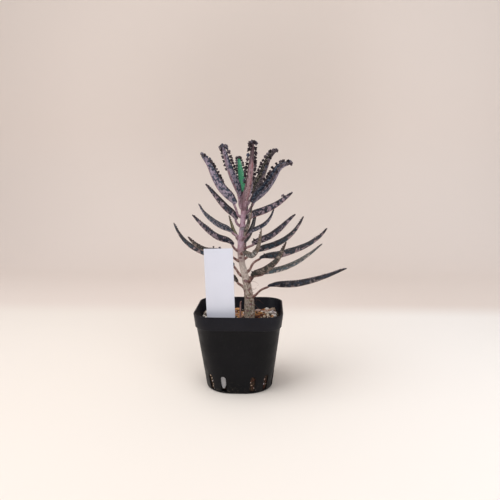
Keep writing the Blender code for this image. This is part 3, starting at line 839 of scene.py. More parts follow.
def grit_look(tree):
    vector = object_place(tree)
    kind = ramp(
        tree, attribute(tree, "tone"), (0.0, (52, 38, 30)), (0.4, (96, 74, 58)), (0.62, (150, 128, 104)),
        (0.8, (212, 202, 188)), (1.0, (96, 92, 96)),
    )
    return {"Base Color": kind, "Normal": bumped(tree, clouds(tree, vector, 2500, 3), 0.2 * MM, 0.7)}


bark = finish("bark", bark_look, roughness=0.85, specular=0.3)
pumice = finish("pumice", pumice_look, roughness=0.9, specular=0.3)
grit = finish("grit", grit_look, roughness=0.85, specular=0.3)
piece("bark_flakes", scatter(flakes, bark_copies), bark, "bark_chip", flat=True)
piece("pumice_bits", scatter(pebbles, pumice_copies), pumice, "pumice")
piece("grit_bits", scatter(crumbs, grit_copies), grit, "soil", flat=True)


# %% [markdown]
# ## The larger stones
# Each larger stone and chip is a solid of its own in the frame, with a few faces. A copy of it is
# merged and subdivided, and its corners are worn: pumice is rounded and pitted, bark is ragged
# along its grain.

# %% Stones
def worn_stone(node_name, cuts, rough, softness, seed):
    """A finer copy of a plain stone, rounded and roughened where it lies."""
    bm = bmesh.new()
    bm.from_mesh(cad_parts[node_name].data)
    bmesh.ops.remove_doubles(bm, verts=bm.verts, dist=0.01 * MM)
    bmesh.ops.subdivide_edges(bm, edges=bm.edges[:], cuts=cuts, use_grid_fill=True, smooth=softness)
    bmesh.ops.triangulate(bm, faces=bm.faces[:])
    bmesh.ops.recalc_face_normals(bm, faces=bm.faces)
    tone_layer = bm.verts.layers.float.new("tone")
    bm.normal_update()
    moves = [(vert, vert.normal.copy(), vert.co * 700 + UP * seed) for vert in bm.verts]
    for vert, normal, spot in moves:
        vert.co += normal * noise.fractal(spot, 1.0, 2.0, 3) * rough
        vert[tone_layer] = random.Random(seed).random()
    return bm


def nodes_named(start):
    """The names of the solids that start with a word, in order."""
    return sorted(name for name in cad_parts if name.startswith(start))


CHIP_SEEDS = 20  # where the chips' seeds start
print("larger pieces:", len(nodes_named("pumice")) + len(nodes_named("bark")))
for number, node_name in enumerate(nodes_named("pumice")):
    stone = worn_stone(node_name, cuts=3, rough=0.35 * MM, softness=0.4, seed=number)
    piece(f"stone_{number + 1:02d}", stone, pumice, "pumice", node_name)
for number, node_name in enumerate(nodes_named("bark")):
    chip = worn_stone(node_name, cuts=4, rough=0.45 * MM, softness=0.1, seed=number + CHIP_SEEDS)
    piece(f"chip_{number + 1:02d}", chip, bark, "bark_chip", node_name)

# %% [markdown]
# ## The plant label
# The label is a strip of stiff white plastic, cut to a point at the foot so that it pushes into the
# mix. It starts as a flat outline whose corners are cut round, is extruded to its thickness, and has
# its edges broken by a small bevel. It leans a little towards the viewer. A stretched cube with a
# bevel would be quicker, but it couldn't have the point.

# %% Label plate
LABEL_LENGTH = 145.8 * MM
LABEL_POINT = 34 * MM
LABEL_THICK = 0.8 * MM
LABEL_TIP = 1 * MM
LABEL_LEAN = 3.5
LABEL_TILT = 1.4
half = LABEL_WIDTH / 2
outline = [
    (-LABEL_TIP, 0), (LABEL_TIP, 0), (half, LABEL_POINT), (half, LABEL_LENGTH),
    (-half, LABEL_LENGTH), (-half, LABEL_POINT),
]
label_mesh = bmesh.new()
label_mesh.faces.new([label_mesh.verts.new((x, -LABEL_THICK / 2, z)) for x, z in outline])
bmesh.ops.bevel(
    label_mesh, geom=label_mesh.verts[:], offset=0.5 * MM, segments=4, profile=0.5,
    affect="VERTICES", material=-1,
)
drawn_out(label_mesh, (0, LABEL_THICK, 0))
rims = [edge for edge in label_mesh.edges if edge.calc_face_angle(0) > math.radians(60)]
bmesh.ops.bevel(
    label_mesh, geom=rims, offset=0.12 * MM, segments=2, profile=0.5, affect="EDGES", material=-1,
)
lean = Matrix.Rotation(math.radians(LABEL_LEAN), 4, "X")
tilt = Matrix.Rotation(math.radians(-LABEL_TILT), 4, "Y")
stood = Matrix.Translation(LABEL_FOOT) @ lean @ tilt
bmesh.ops.transform(label_mesh, matrix=stood, verts=label_mesh.verts)


# %% Label finish
def label_look(tree):
    vector = object_place(tree)
    height = height_of(tree, vector)
    tint = ramp(tree, clouds(tree, vector, 30, 2), (0.3, (215, 217, 229)), (0.7, (221, 222, 234)))
    splash = window(tree, clouds(tree, vector, 350, 5, 0.5), 0.5, 0.7)
    below = window(tree, height, 0.080, 0.070, 0, 0.55)
    near_mix = product(tree, below, window(tree, height, 0.03, 0.06))
    dirty = mixed(tree, product(tree, splash, near_mix), tint, (150, 128, 104))
    # Painted light: the point, in the shade of the pot's wall behind the slot, is coloured near white.
    painted_light_point = mixed(tree, window(tree, height, 0.040, 0.030), dirty, (252, 251, 255))
    lines = clouds(tree, scaled(tree, vector, (1, 1, 0.06)), 1400, 3)
    return {
        "Base Color": painted_light_point,
        "Roughness": window(tree, lines, 0.4, 0.65, 0.34, 0.46),
        "Normal": bumped(tree, lines, 0.02 * MM, 0.4),
    }


print("label faces:", len(label_mesh.faces))
label = piece("label_plate", label_mesh, finish("label_white", label_look), "label", "plant_label")
label.data.set_sharp_from_angle(angle=math.radians(35))

# %% [markdown]
# ## The stem
# The stem leans to the left and then straightens. It is thick and barky at the foot and slim and
# mauve near the top, with a swelling where each leaf grows and round scars where old leaves fell.
# It is a rolled sheet round a smooth line through a few points. Every point of the sheet is pushed
# out by the swellings and bark, and pushed in at the scars. A curve with a round bevel would be
# simpler, but it couldn't carry scars.

# %% Stem line
STEM_LINE = [Vector(point) for point in (
    (0.0101, 0.0034, 0.035), (0.0101, 0.0034, 0.071), (0.0098, 0.0034, 0.089),
    (0.0065, 0.0032, 0.111), (0.0018, 0.0031, 0.131), (0.0009, 0.0030, 0.142),
    (0.0014, 0.0031, 0.153), (0.0032, 0.0031, 0.170), (0.0046, 0.0032, 0.193),
    (0.0056, 0.0032, 0.2035),
)]
# Height and radius.
STEM_RADII = (
    (0.035, 0.0060), (0.070, 0.0060), (0.082, 0.0053), (0.112, 0.0038), (0.125, 0.0033),
    (0.155, 0.0031), (0.165, 0.0027), (0.1970, 0.0026), (0.2035, 0.0012),
)


def stem_middle(height):
    """The stem's middle line at this height, drawn through its points as a smooth curve."""
    line = STEM_LINE
    index = max(i for i in range(len(line) - 1) if line[i].z <= height or i == 0)
    start, end = line[index], line[index + 1]
    before, after = line[max(index - 1, 0)], line[min(index + 2, len(line) - 1)]
    share = (height - start.z) / (end.z - start.z)
    leave = (end - before) * (end.z - start.z) / (end.z - before.z)
    arrive = (after - start) * (end.z - start.z) / (after.z - start.z)
    square, cube = share**2, share**3
    point = start * (2 * cube - 3 * square + 1) + leave * (cube - 2 * square + share)
    point = point + end * (3 * square - 2 * cube) + arrive * (cube - square)
    return Vector((point.x, point.y, height))


def stem_radius(height):
    """The bare stem's radius at a height."""
    for (low, low_radius), (high, high_radius) in zip(STEM_RADII, STEM_RADII[1:]):
        if height <= high:
            return low_radius + (high_radius - low_radius) * (height - low) / (high - low)
    return STEM_RADII[-1][1]


# %% [markdown]
# ## The leaves' plan
# Each leaf has a row: where it leaves the stem, which way, how long it and its stalk are, how wide
# and how tightly folded it is, and how it rises along its length. The lowest come first. The last
# column names its skin, because old low leaves are brown and dark and the crown is mauve.

# %% Leaf rows
# height: on the stem. azimuth: degrees from +X, seen from above. petiole: the stalk's length.
# half: from midrib to edge. shoulder: the blade's width where it opens, as a share of its widest.
# fold: degrees that each half is turned up. roll: degrees about the leaf's own line.
# young: the share of the blade, from its tip, that carries plantlets. toothed: with marked teeth.
# rise: degrees above level, evenly spaced from stem to tip.
Leaf = namedtuple("Leaf", "height azimuth length petiole half shoulder fold roll young toothed rise skin")
LEAVES = [Leaf(*row) for row in (
    (0.0940, 352, 0.102, 0.018, 0.0070, 0.35, 62, 0, 0, 0.9, (65, 22, 2, 9, 15, 20, 24, 25), "dark"),
    (0.1030, 150, 0.045, 0.008, 0.0065, 0.4, 60, 0, 0, 0.4, (20, 30, 26, 28, 40), "brown"),
    (0.1101, 316, 0.071, 0.007, 0.0070, 0.6, 62, 0, 0, 0.3, (67, 22, 30, 37, 61, 63), "brown"),
    (0.1125, 36, 0.106, 0.017, 0.0062, 0.4, 60, 0, 0, 0.2, (0, 6, 13, 26, 32), "pale"),
    (0.1159, 170, 0.094, 0.012, 0.0068, 0.4, 62, 0, 0, 0.2, (75, 24, 16, 24, 50, 72), "teal"),
    (0.1202, 8, 0.098, 0.018, 0.0075, 0.35, 64, -8, 0, 0.35, (94, 30, 0, 18, 18, 26, 38, 59), "teal"),
    (0.1240, 92, 0.074, 0.012, 0.0068, 0.4, 60, 0, 0, 0.4, (40, 20, 20, 36, 52), "teal"),
    (0.1320, 205, 0.061, 0.008, 0.0065, 0.45, 60, 0, 0, 0.5, (44, 20, 7, 33, 56), "brown"),
    (0.1335, 18, 0.080, 0.010, 0.0068, 0.45, 64, 0, 0, 0.25, (32, 16, 22, 46, 67), "teal"),
    (0.1395, 295, 0.066, 0.005, 0.0058, 0.7, 58, 0, 0, 0.3, (-13, -1, 25, 62, 88), "striped"),
    (0.1426, 190, 0.059, 0.006, 0.0068, 0.5, 64, 0, 0, 0.6, (77, 19, 36, 45, 49), "mottled"),
    (0.1440, 5, 0.064, 0.009, 0.0070, 0.7, 66, 0, 0, 0.6, (17, 25, 32, 46, 41), "mottled"),
    (0.1430, 72, 0.060, 0.008, 0.0066, 0.5, 62, 0, 0, 0.4, (30, 24, 34, 50, 60), "teal"),
    (0.1515, 118, 0.037, 0.007, 0.0040, 0.7, 60, 0, 0, 0.3, (0, 28, 50, 54, 54), "faded"),
    (0.1540, 300, 0.044, 0.005, 0.0042, 0.55, 66, 0, 0, 0.3, (48, 54, 61, 72, 77), "brown"),
    (0.1550, 30, 0.047, 0.006, 0.0046, 0.6, 64, 0, 0, 0.2, (49, 21, 25, 53, 72), "netted"),
    (0.1560, 155, 0.059, 0.007, 0.0062, 0.5, 64, 8, 0, 0.2, (31, 21, 28, 42, 64), "netted"),
    (0.1640, 84, 0.052, 0.007, 0.0066, 0.5, 64, 0, 0, 0.4, (40, 34, 44, 56, 62), "mottled"),
    (0.1672, 352, 0.060, 0.006, 0.0078, 0.6, 66, 6, 0, 0.4, (94, 26, 24, 35, 42), "mottled"),
    (0.1679, 174, 0.0545, 0.006, 0.0072, 0.5, 66, 0, 0, 0.3, (82, 46, 48, 50, 47), "mottled"),
    (0.1771, 190, 0.0725, 0.013, 0.0100, 0.5, 66, 0, 0.6, 0, (90, 49, 57, 68, 41), "mauve"),
    (0.1806, 14, 0.069, 0.011, 0.0105, 0.5, 64, -24, 0.7, 0, (68, 46, 52, 62, -5), "mauve"),
    (0.1850, 286, 0.074, 0.012, 0.0085, 0.5, 68, 0, 0.7, 0, (40, 50, 62, 70, 78), "rosy"),
    (0.1856, 232, 0.0655, 0.012, 0.0090, 0.5, 66, -22, 0.5, 0, (94, 66, 58, 66, 70), "mauve"),
    (0.1880, 43, 0.069, 0.014, 0.0088, 0.5, 66, -6, 0.6, 0, (51, 54, 59, 65, 26), "speckled"),
    (0.1893, 109, 0.050, 0.012, 0.0062, 0.5, 52, 0, 0.8, 0, (90, 80, 68, 66, 65), "emerald"),
    (0.1925, 59, 0.038, 0.009, 0.0052, 0.5, 68, 0, 0.2, 0, (40, 71, 83, 84, 86), "mauve"),
    (0.1960, 168, 0.014, 0.004, 0.0030, 0.7, 60, 0, 0, 0, (50, 80, 85), "mauve"),
    (0.1965, 335, 0.019, 0.004, 0.0028, 0.7, 60, 0, 0, 0, (50, 80, 85), "mauve"),
)]

# %% [markdown]
# ## The bark
# The swelling under each leaf comes from the leaves' rows, so stem and leaves always fit. A scar is
# a raised ring round a hollow. The sheet notes at each point how far it is a scar or a joint, and
# the finish reads those notes. Its ground colour follows the height: pale and cracked at the foot,
# where the stem is old, and mauve above.

# %% Stem sheet
STEM_AROUND = 56
STEM_STEP = 0.42 * MM
# Old scars: height, degrees from +X, and radius.
Scar = namedtuple("Scar", "height azimuth radius")
SCARS = [Scar(*row) for row in (
    (0.1648, 284, 0.0020), (0.1490, 60, 0.0013), (0.1345, 262, 0.0012), (0.1200, 75, 0.0014),
    (0.1105, 262, 0.0016), (0.1015, 292, 0.0011), (0.1000, 200, 0.0014), (0.0925, 258, 0.0011),
    (0.0890, 105, 0.0016), (0.0860, 286, 0.0012), (0.0800, 92, 0.0016), (0.0790, 250, 0.0012),
    (0.0750, 190, 0.0014),
)]
STEM_START = 0.060  # inside the mix
JOINT_WIDE = 1.5 * MM
JOINT_DROP = 0.6 * MM  # a joint swells a little below its leaf
STEM_TOP = STEM_LINE[-1].z
stem_rows = round((STEM_TOP - STEM_START) / STEM_STEP) + 1


def stem_point(column, row):
    """A point of the bark, and how far it is a scar and how far a joint, from 0 to 1."""
    height = min(STEM_START + STEM_STEP * row, STEM_TOP)
    turn = math.tau * column / STEM_AROUND
    out = Vector((math.cos(turn), math.sin(turn), 0))
    radius = stem_radius(height)
    middle = stem_middle(height)
    rough = noise.noise(Vector((out.x * 4, out.y * 4, height * 500)))
    extra = scar = joint = 0.0
    for leaf in LEAVES:
        near = math.exp(-(((height - leaf.height + JOINT_DROP) / JOINT_WIDE) ** 2))
        if near > 0.01:
            facing = 0.5 + 0.5 * math.cos(turn - math.radians(leaf.azimuth))
            extra += near * (0.12 + 0.5 * facing**3) * MM
            joint = max(joint, near * facing**2)
    for old in SCARS:
        away = (turn - math.radians(old.azimuth) + math.pi) % math.tau - math.pi
        distance = math.hypot(away * radius * 0.75, height - old.height) / old.radius + rough * 0.15
        if distance < 1.6:
            rim = math.exp(-(((distance - 0.95) / 0.28) ** 2))
            extra += (0.25 * rim - 0.28 * smooth(1.1 - distance)) * MM
            scar = max(scar, smooth(1.25 - distance))
    age = smooth((0.135 - height) / 0.05)
    spot = Vector((out.x * 2.2, out.y * 2.2, height * 260))
    extra += noise.noise(spot) * (0.10 + 0.35 * age) * MM
    extra += noise.noise(Vector((out.x * 7, out.y * 7, height * 900))) * (0.03 + 0.17 * age) * MM
    taper = smooth((STEM_TOP + 0.5 * MM - height) / (2 * MM))
    return middle + out * (radius + extra * taper), scar, joint


# %% Roll the stem
stem_points = {}
for row in range(stem_rows):
    for column in range(STEM_AROUND):
        stem_points[(column, row)] = stem_point(column, row)
print("stem rows:", stem_rows)
stem_mesh = rolled(
    STEM_AROUND, stem_rows, lambda column, row: stem_points[(column, row)][0],
    lambda column, row: dict(zip(("scar", "joint"), stem_points[(column, row)][1:])),
)


# %% Bark and its colours
def stem_look(tree):
    vector = object_place(tree)
    height = height_of(tree, vector)
    uneven = clouds(tree, vector, 160, 3, 0.5)
    band = window(tree, raised(tree, height, uneven, 0.03), 0.085, 0.225)
    base = ramp(
        tree, band, (0.0, (172, 158, 144)), (0.10, (192, 177, 165)), (0.20, (202, 187, 177)),
        (0.32, (210, 197, 188)), (0.42, (190, 174, 168)), (0.52, (178, 155, 158)),
        (0.62, (184, 158, 173)), (0.76, (184, 157, 174)), (0.90, (174, 142, 156)),
        (1.0, (148, 120, 124)),
    )
    low = window(tree, height, 0.15, 0.085)
    stretched = scaled(tree, vector, (1, 1, 0.6))
    pale_spots = window(tree, clouds(tree, vector, 420, 3, 0.4), 0.52, 0.66, 0, 0.7)
    spotted = mixed(tree, product(tree, pale_spots, low), base, (218, 208, 196))
    mottle = clouds(tree, stretched, 560, 5, 0.3)
    dark = window(tree, mottle, 0.475, 0.61, 0, 0.8)
    barky = mixed(tree, product(tree, dark, low), spotted, (88, 74, 64))
    old = window(tree, height, 0.135, 0.095)
    rust = window(tree, clouds(tree, vector, 600, 3, 0.2), 0.55, 0.64, 0, 0.85)
    rusty = mixed(tree, product(tree, rust, old), barky, (122, 66, 56))
    green = window(tree, clouds(tree, vector, 240, 3), 0.5, 0.66)
    mossy = mixed(tree, product(tree, product(tree, green, old), 0.35), rusty, (96, 106, 68))
    blush = window(tree, clouds(tree, stretched, 420, 3, 0.6), 0.44, 0.64, 0, 0.65)
    upper = window(tree, height, 0.12, 0.16)
    rosy = mixed(tree, product(tree, blush, upper), mossy, (138, 88, 102))
    joint = product(tree, attribute(tree, "joint"), window(tree, uneven, 0.3, 0.6, 0.25, 0.7))
    swollen = mixed(tree, window(tree, height, 0.13, 0.17), (120, 78, 74), (142, 108, 122))
    jointed = mixed(tree, joint, rosy, swollen)
    scar = attribute(tree, "scar")
    corky = mixed(tree, window(tree, height, 0.13, 0.16), (138, 88, 78), (152, 142, 156))
    rings = ramp(
        tree, scar, (0.1, (150, 128, 124)), (0.3, (74, 52, 50)), (0.5, (150, 128, 132)),
        (0.7, (84, 70, 76)), (0.9, (140, 130, 136)),
    )
    scar_colour = mixed(tree, 0.6, corky, rings)
    scarred = mixed(tree, window(tree, scar, 0.05, 0.3), jointed, scar_colour)
    bark_bump = bumped(tree, mottle, 0.35 * MM, 0.5)
    return {
        "Base Color": scarred,
        "Roughness": window(tree, height, 0.10, 0.17, 0.8, 0.5),
        "Normal": bumped(tree, clouds(tree, vector, 2400, 3), 0.08 * MM, 0.5, bark_bump),
    }


piece("stem_bark", stem_mesh, finish("stem_bark", stem_look, specular=0.35), "stem", "stem")

# %% [markdown]
# ## Threads and a twig at the foot
# Fine aerial roots hang from the lowest joints, and a dead twig stands beside the stem and hooks
# over at its top. Each is a thin curve with a round section that gets thinner towards its end: a
# curve needs only a few points, where a mesh would need a ring of them at every bend.

# %% Roots and twig
def threads(name, lines, look, sides=2):
    """Curves of round section. Each line is a list of (place in mm, radius in mm)."""
    data = bpy.data.curves.new(name, "CURVE")
    data.dimensions = "3D"
    data.bevel_depth = 1 * MM
    data.bevel_resolution = sides
    data.use_fill_caps = True
    data.resolution_u = 6
    for line in lines:
        spline = data.splines.new("NURBS")
        spline.points.add(len(line) - 1)
        for point, (place, radius) in zip(spline.points, line):
            point.co = (*(Vector(place) * MM), 1)
            point.radius = radius
        spline.order_u = 3
        spline.use_endpoint_u = True
    data.materials.append(look)
    made = shown(name, data)
    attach(made, "root")


def fibre_look(low, middle, high):
    """A finish of three streaky colours."""
    def build(tree):
        vector = object_place(tree)
        colour = ramp(tree, clouds(tree, vector, 300, 3), (0.35, low), (0.55, middle), (0.7, high))
        fibres = clouds(tree, vector, 1800, 2)
        return {"Base Color": colour, "Normal": bumped(tree, fibres, 0.1 * MM, 0.6)}

    return build


root_look = finish("root_fibre", fibre_look((84, 54, 44), (124, 88, 74), (160, 126, 110)), 0.8, 0.3)
wood_look = finish("dead_wood", fibre_look((120, 88, 82), (158, 124, 118), (184, 156, 150)), 0.8, 0.3)
ROOT_HEIGHTS = (0.1110, 0.1085, 0.1050, 0.1020, 0.0995, 0.0965, 0.0935, 0.0910, 0.0885, 0.0860)
ROOT_RADIUS = 0.13  # in mm
ROOT_THINNING = 0.009  # in mm, from point to point
rng = random.Random(21)
root_lines = []
for height in ROOT_HEIGHTS:
    turn = math.radians(rng.uniform(-45, 30))
    out = Vector((math.cos(turn), math.sin(turn), 0))
    spot = (stem_middle(height) + out * (stem_radius(height) - 0.3 * MM)) / MM
    line = [(spot, ROOT_RADIUS)]
    aim = out * 1.1 + UP * rng.uniform(-0.7, 0.5)
    for step in range(1, rng.randrange(6, 11)):
        aim = aim * 0.6 + out * 0.35 + Vector([rng.gauss(0, 0.65) for _ in range(3)])
        spot = spot + aim
        line.append((spot, ROOT_RADIUS - ROOT_THINNING * step))
    root_lines.append(line)
threads("aerial_roots", root_lines, root_look)

twig = [
    ((1.0, -6.0, 69.0), 0.95), ((1.1, -5.9, 75.0), 0.9), ((0.9, -5.8, 81.0), 0.85),
    ((1.0, -5.8, 86.0), 0.8), ((1.1, -5.7, 88.8), 0.75), ((1.7, -5.6, 89.8), 0.6),
    ((2.3, -5.5, 89.7), 0.4),
]
threads("dry_twig", [twig], wood_look, sides=3)
print("aerial roots:", len(root_lines))

# %% [markdown]
# ## A leaf's form
# A leaf of this plant is a boat: a round stalk that opens into a blade whose halves are folded up
# from a thick keel, with a groove between them. Its edges are cut into small teeth. The leaf is a
# rolled sheet. Each of its rows is one section, which turns from the stalk's circle into the
# blade's fold, and the rows follow a line that rises as the leaf's row says. A few extruded faces
# with a subdivision would be softer work, but the teeth and the pattern need even, close rows.

# %% Leaf sizes
PETIOLE_RADIUS = 1.4 * MM
STEM_GAP = 0.65 * MM
START_RISE = 25
START_LENGTH = 5 * MM
WALK_STEP = 0.5 * MM
SHOULDER_LENGTH = 2 * MM
AURICLE = 1.5 * MM
BLADE_WALL = 1.3 * MM
BLADE_EDGE = 0.8 * MM
CUPPING = 13
WIDEST = 0.2
FADE_POWER = 1.8
KEEL_SUNK = (0.2, 0.5, 0.5, 0.5)
TIP_SHARE = 0.12
YOUNG_TIP_SHARE = 0.38
ROOTED = 1.3 * MM
OPENING = 3.2 * MM  # the length over which the stalk turns into the blade
EAR_LENGTH = 4 * MM  # the length over which the shoulders reach back
EDGE_WAVE = 0.5 * MM
STALK_FLARE = 0.45
STALK_HOLLOW = 0.45
TOOTH_SPACING = 2.5 * MM
TOOTH_HEIGHT = 0.5 * MM
FAINT_TOOTH = 0.15 * MM
OUTER_SHARES = (0, 0.1, 0.22, 0.36, 0.5, 0.64, 0.78, 0.9, 1)
INNER_SHARES = (1, 0.85, 0.68, 0.5, 0.32, 0.16, 0)


# %% Along the leaf
def leaf_rise(leaf, length):
    """The angle above level at this length, in radians: it bends from its start to its own curve."""
    share = min(max(length, 0) / START_LENGTH, 1)
    own = reading(leaf.rise, length / leaf.length)
    return math.radians(START_RISE * (1 - share) + own * share)


def leaf_line(leaf, lengths):
    """Place, onward, side and up at each length from the stem. A length below 0 lies in the stem."""
    azimuth = math.radians(leaf.azimuth)
    outward = Vector((math.cos(azimuth), math.sin(azimuth), 0))
    flat_side = Vector((math.sin(azimuth), -math.cos(azimuth), 0))
    roll = math.radians(leaf.roll)
    place = stem_middle(leaf.height) + outward * (stem_radius(leaf.height) + STEM_GAP)
    walked = 0.0
    stations = []
    for length in lengths:
        count = max(math.ceil(abs(length - walked) / WALK_STEP), 1)
        step = (length - walked) / count
        for number in range(count):
            rise = leaf_rise(leaf, walked + step * (number + 0.5))
            place = place + (outward * math.cos(rise) + UP * math.sin(rise)) * step
        walked = length
        rise = leaf_rise(leaf, length)
        onward = outward * math.cos(rise) + UP * math.sin(rise)
        flat_up = UP * math.cos(rise) - outward * math.sin(rise)
        side = flat_side * math.cos(roll) + flat_up * math.sin(roll)
        up = flat_up * math.cos(roll) - flat_side * math.sin(roll)
        stations.append((place, onward, side, up))
    return stations


def blade_half(leaf, share, left):
    """The blade's width from midrib to edge, which closes round its tip. left: length left to it."""
    tip = YOUNG_TIP_SHARE if leaf.young else TIP_SHARE
    swell = math.sin(math.pi / 2 * min(max(share, 0) / WIDEST, 1))
    fade = max(share - WIDEST, 0) / (1 - WIDEST)
    width = leaf.half * (leaf.shoulder + (1 - leaf.shoulder) * swell)
    width *= 1 - (1 - tip) * fade**FADE_POWER
    closing = min(left / (leaf.half * tip * 1.5), 1)
    return width, math.sqrt(max(1 - (1 - closing) ** 2, 0.002))


def tooth(leaf, number, hand, from_shoulder, share):
    """How far a rounded tooth stands out of the edge here. Teeth lean a little to the tip."""
    jitter = noise.noise(Vector((from_shoulder * 60, number * 3.7, hand))) * 0.5
    phase = (from_shoulder / TOOTH_SPACING + jitter + (0.5 if hand > 0 else 0)) % 1
    shape = math.sin(math.pi * phase**1.3) ** 0.8
    marked = smooth((share - (1 - leaf.toothed)) / 0.2) if leaf.toothed else 0
    return shape * (FAINT_TOOTH + TOOTH_HEIGHT * marked) * smooth(share / 0.1) * smooth((1 - share) * 12)


# %% Across the leaf
def unit_section(fold):
    """The outside of one blade half of width 1, from keel to edge."""
    points = [(0.0, 0.0)]
    x = z = 0.0
    fine = 4
    for start, end in zip(OUTER_SHARES, OUTER_SHARES[1:]):
        for part in range(fine):
            share = start + (end - start) * (part + 0.5) / fine
            angle = math.radians(fold + 4 * CUPPING * (share - 0.5)) * smooth(0.25 + share / 0.12)
            x += math.cos(angle) * (end - start) / fine
            z += math.sin(angle) * (end - start) / fine
        points.append((x, z))
    return points


def blade_section(leaf, unit, half, closing, teeth, wave):
    """Points round the blade: outside from edge to edge, then back along the groove.

    teeth and wave hold, for the left and the right edge, how far it stands out and bends sideways.
    """
    half *= closing
    edge_x, edge_z = unit[-1][0] * half, unit[-1][1] * half
    high = math.radians(leaf.fold + CUPPING)
    thin = BLADE_EDGE * closing
    inner_x, inner_z = edge_x - math.sin(high) * thin, edge_z + math.cos(high) * thin
    wall = min(BLADE_WALL * closing * 2.0, edge_z * 0.6 + thin)
    sides = []
    for index in (0, 1):
        out = teeth[index]
        push_x, push_z = math.cos(high) * out + wave[index], math.sin(high) * out
        outer = []
        for share, (x, z) in zip(OUTER_SHARES, unit):
            pull = smooth((share - 0.6) / 0.4)
            outer.append((x * half + push_x * pull, z * half + push_z * pull))
        inner = []
        for share in INNER_SHARES:
            pull = smooth((share - 0.5) / 0.5)
            z = wall + (inner_z - wall) * share**1.7
            inner.append((inner_x * share + push_x * pull, z + push_z * pull))
        rim_x = (outer[-1][0] + inner[0][0]) / 2 + math.cos(high) * thin * 0.4
        rim_z = (outer[-1][1] + inner[0][1]) / 2 + math.sin(high) * thin * 0.4
        sides.append((outer, (rim_x, rim_z), inner))
    (left_out, left_rim, left_in), (right_out, right_rim, right_in) = sides
    points = [(-x, z) for x, z in reversed(left_out)] + right_out[1:] + [right_rim] + right_in
    points += [(-x, z) for x, z in reversed(left_in[:-1])] + [(-left_rim[0], left_rim[1])]
    return points, edge_z


OUTER_COUNT = 2 * len(OUTER_SHARES) - 1
INNER_COUNT = 2 * len(INNER_SHARES) - 1
AROUND = OUTER_COUNT + INNER_COUNT + 2
RIMS = (AROUND - 1, OUTER_COUNT)
KEEL_COLUMN = OUTER_COUNT // 2
GROOVE_COLUMN = OUTER_COUNT + 1 + INNER_COUNT // 2


def column_share(column):
    """How far a column of the sheet lies from midrib (0) to edge (1), and whether it is inside."""
    if column in RIMS:
        return 1.0, 0.5
    if column < OUTER_COUNT:
        middle = len(OUTER_SHARES) - 1
        return OUTER_SHARES[abs(column - middle)], 0.0
    return INNER_SHARES[min(column - OUTER_COUNT - 1, AROUND - 2 - column)], 1.0


COLUMN_SHARES = [column_share(column) for column in range(AROUND)]


# %% The stalk's section
def stalk_section(radius):
    """The stalk's round section, in the same order as the blade's, a little hollow on top."""
    points = []
    for column in range(AROUND):
        if column < OUTER_COUNT:
            turn = -105 + 210 * column / (OUTER_COUNT - 1)
        else:
            turn = 105 + 150 * (column - OUTER_COUNT + 1) / (INNER_COUNT + 3)
        angle = math.radians(turn)
        top = max(-math.cos(angle), 0)
        low = -radius * math.cos(angle) - radius * STALK_HOLLOW * top**3
        points.append((radius * math.sin(angle), low))
    return points


# %% One leaf
BLADE_ROW = 0.45 * MM
STALK_ROW = 1.0 * MM


def leaf_rows(leaf):
    """The lengths of the sheet's rows, from inside the stem to the tip."""
    start = -STEM_GAP - ROOTED
    stalk = round((leaf.petiole - start) / STALK_ROW)
    lengths = [start + (leaf.petiole - start) * step / stalk for step in range(stalk)]
    long = leaf.length - leaf.petiole
    blade = round(long / BLADE_ROW)
    return lengths + [leaf.petiole + long * step / blade for step in range(blade + 1)]


def leaf_sheet(number, leaf):
    """The points, notes and edges of a whole leaf."""
    lengths = leaf_rows(leaf)
    unit = unit_section(leaf.fold)
    shoulder = leaf.petiole + SHOULDER_LENGTH
    points, notes, edges = {}, {}, []
    for row, (length, station) in enumerate(zip(lengths, leaf_line(leaf, lengths))):
        place, onward, side, up = station
        from_shoulder = length - shoulder
        share = from_shoulder / (leaf.length - shoulder)
        half, closing = blade_half(leaf, share, leaf.length - length)
        opened = smooth((length - leaf.petiole + 0.5 * MM) / OPENING)
        teeth = [tooth(leaf, number, hand, from_shoulder, share) * closing for hand in (-1, 1)]
        wave = [
            noise.noise(Vector((length * 130, number * 5.3, hand * 2.1))) * EDGE_WAVE * opened * closing
            for hand in (-1, 1)
        ]
        blade, edge_z = blade_section(leaf, unit, half, closing, teeth, wave)
        sunk = -reading(KEEL_SUNK, share) * edge_z
        flare = 1 + STALK_FLARE * math.exp(-max(length, 0) / (2 * MM))
        stalk = stalk_section(PETIOLE_RADIUS * flare)
        back = AURICLE * smooth(1 - max(from_shoulder, 0) / EAR_LENGTH) * opened
        ring = []
        for column in range(AROUND):
            rim, inner = COLUMN_SHARES[column]
            x = stalk[column][0] * (1 - opened) + blade[column][0] * opened
            z = stalk[column][1] * (1 - opened) + (blade[column][1] + sunk) * opened
            point = place + side * x + up * z - onward * back * rim**2
            ring.append(point)
            points[(column, row)] = point
            notes[(column, row)] = {
                "rim": rim * opened + 0.4 * (1 - opened),
                "inner": inner * opened,
                "along": max(share, 0),
                "blade": opened,
                "across": half * rim * (1 if KEEL_COLUMN <= column <= GROOVE_COLUMN else -1),
            }
        edges.append((share, [ring[column] for column in RIMS], onward, side, up))
    return lengths, points, notes, edges


NOTES = ("rim", "inner", "along", "blade")


def leaf_mesh(number, leaf):
    """The leaf's mesh, with its pattern laid out in units of 10 mm, and its edges."""
    lengths, points, notes, edges = leaf_sheet(number, leaf)

    def pattern(column, row, side):
        shift = 5 if OUTER_COUNT - 1 <= side < AROUND - 1 else 0
        across = notes[(column % AROUND, row)]["across"]
        return across * 100 + shift, lengths[row] * 100 + number * 7 + shift

    bm = rolled(
        AROUND, len(lengths), lambda column, row: points[(column, row)],
        lambda column, row: {name: notes[(column, row)][name] for name in NOTES}, pattern,
    )
    return bm, edges


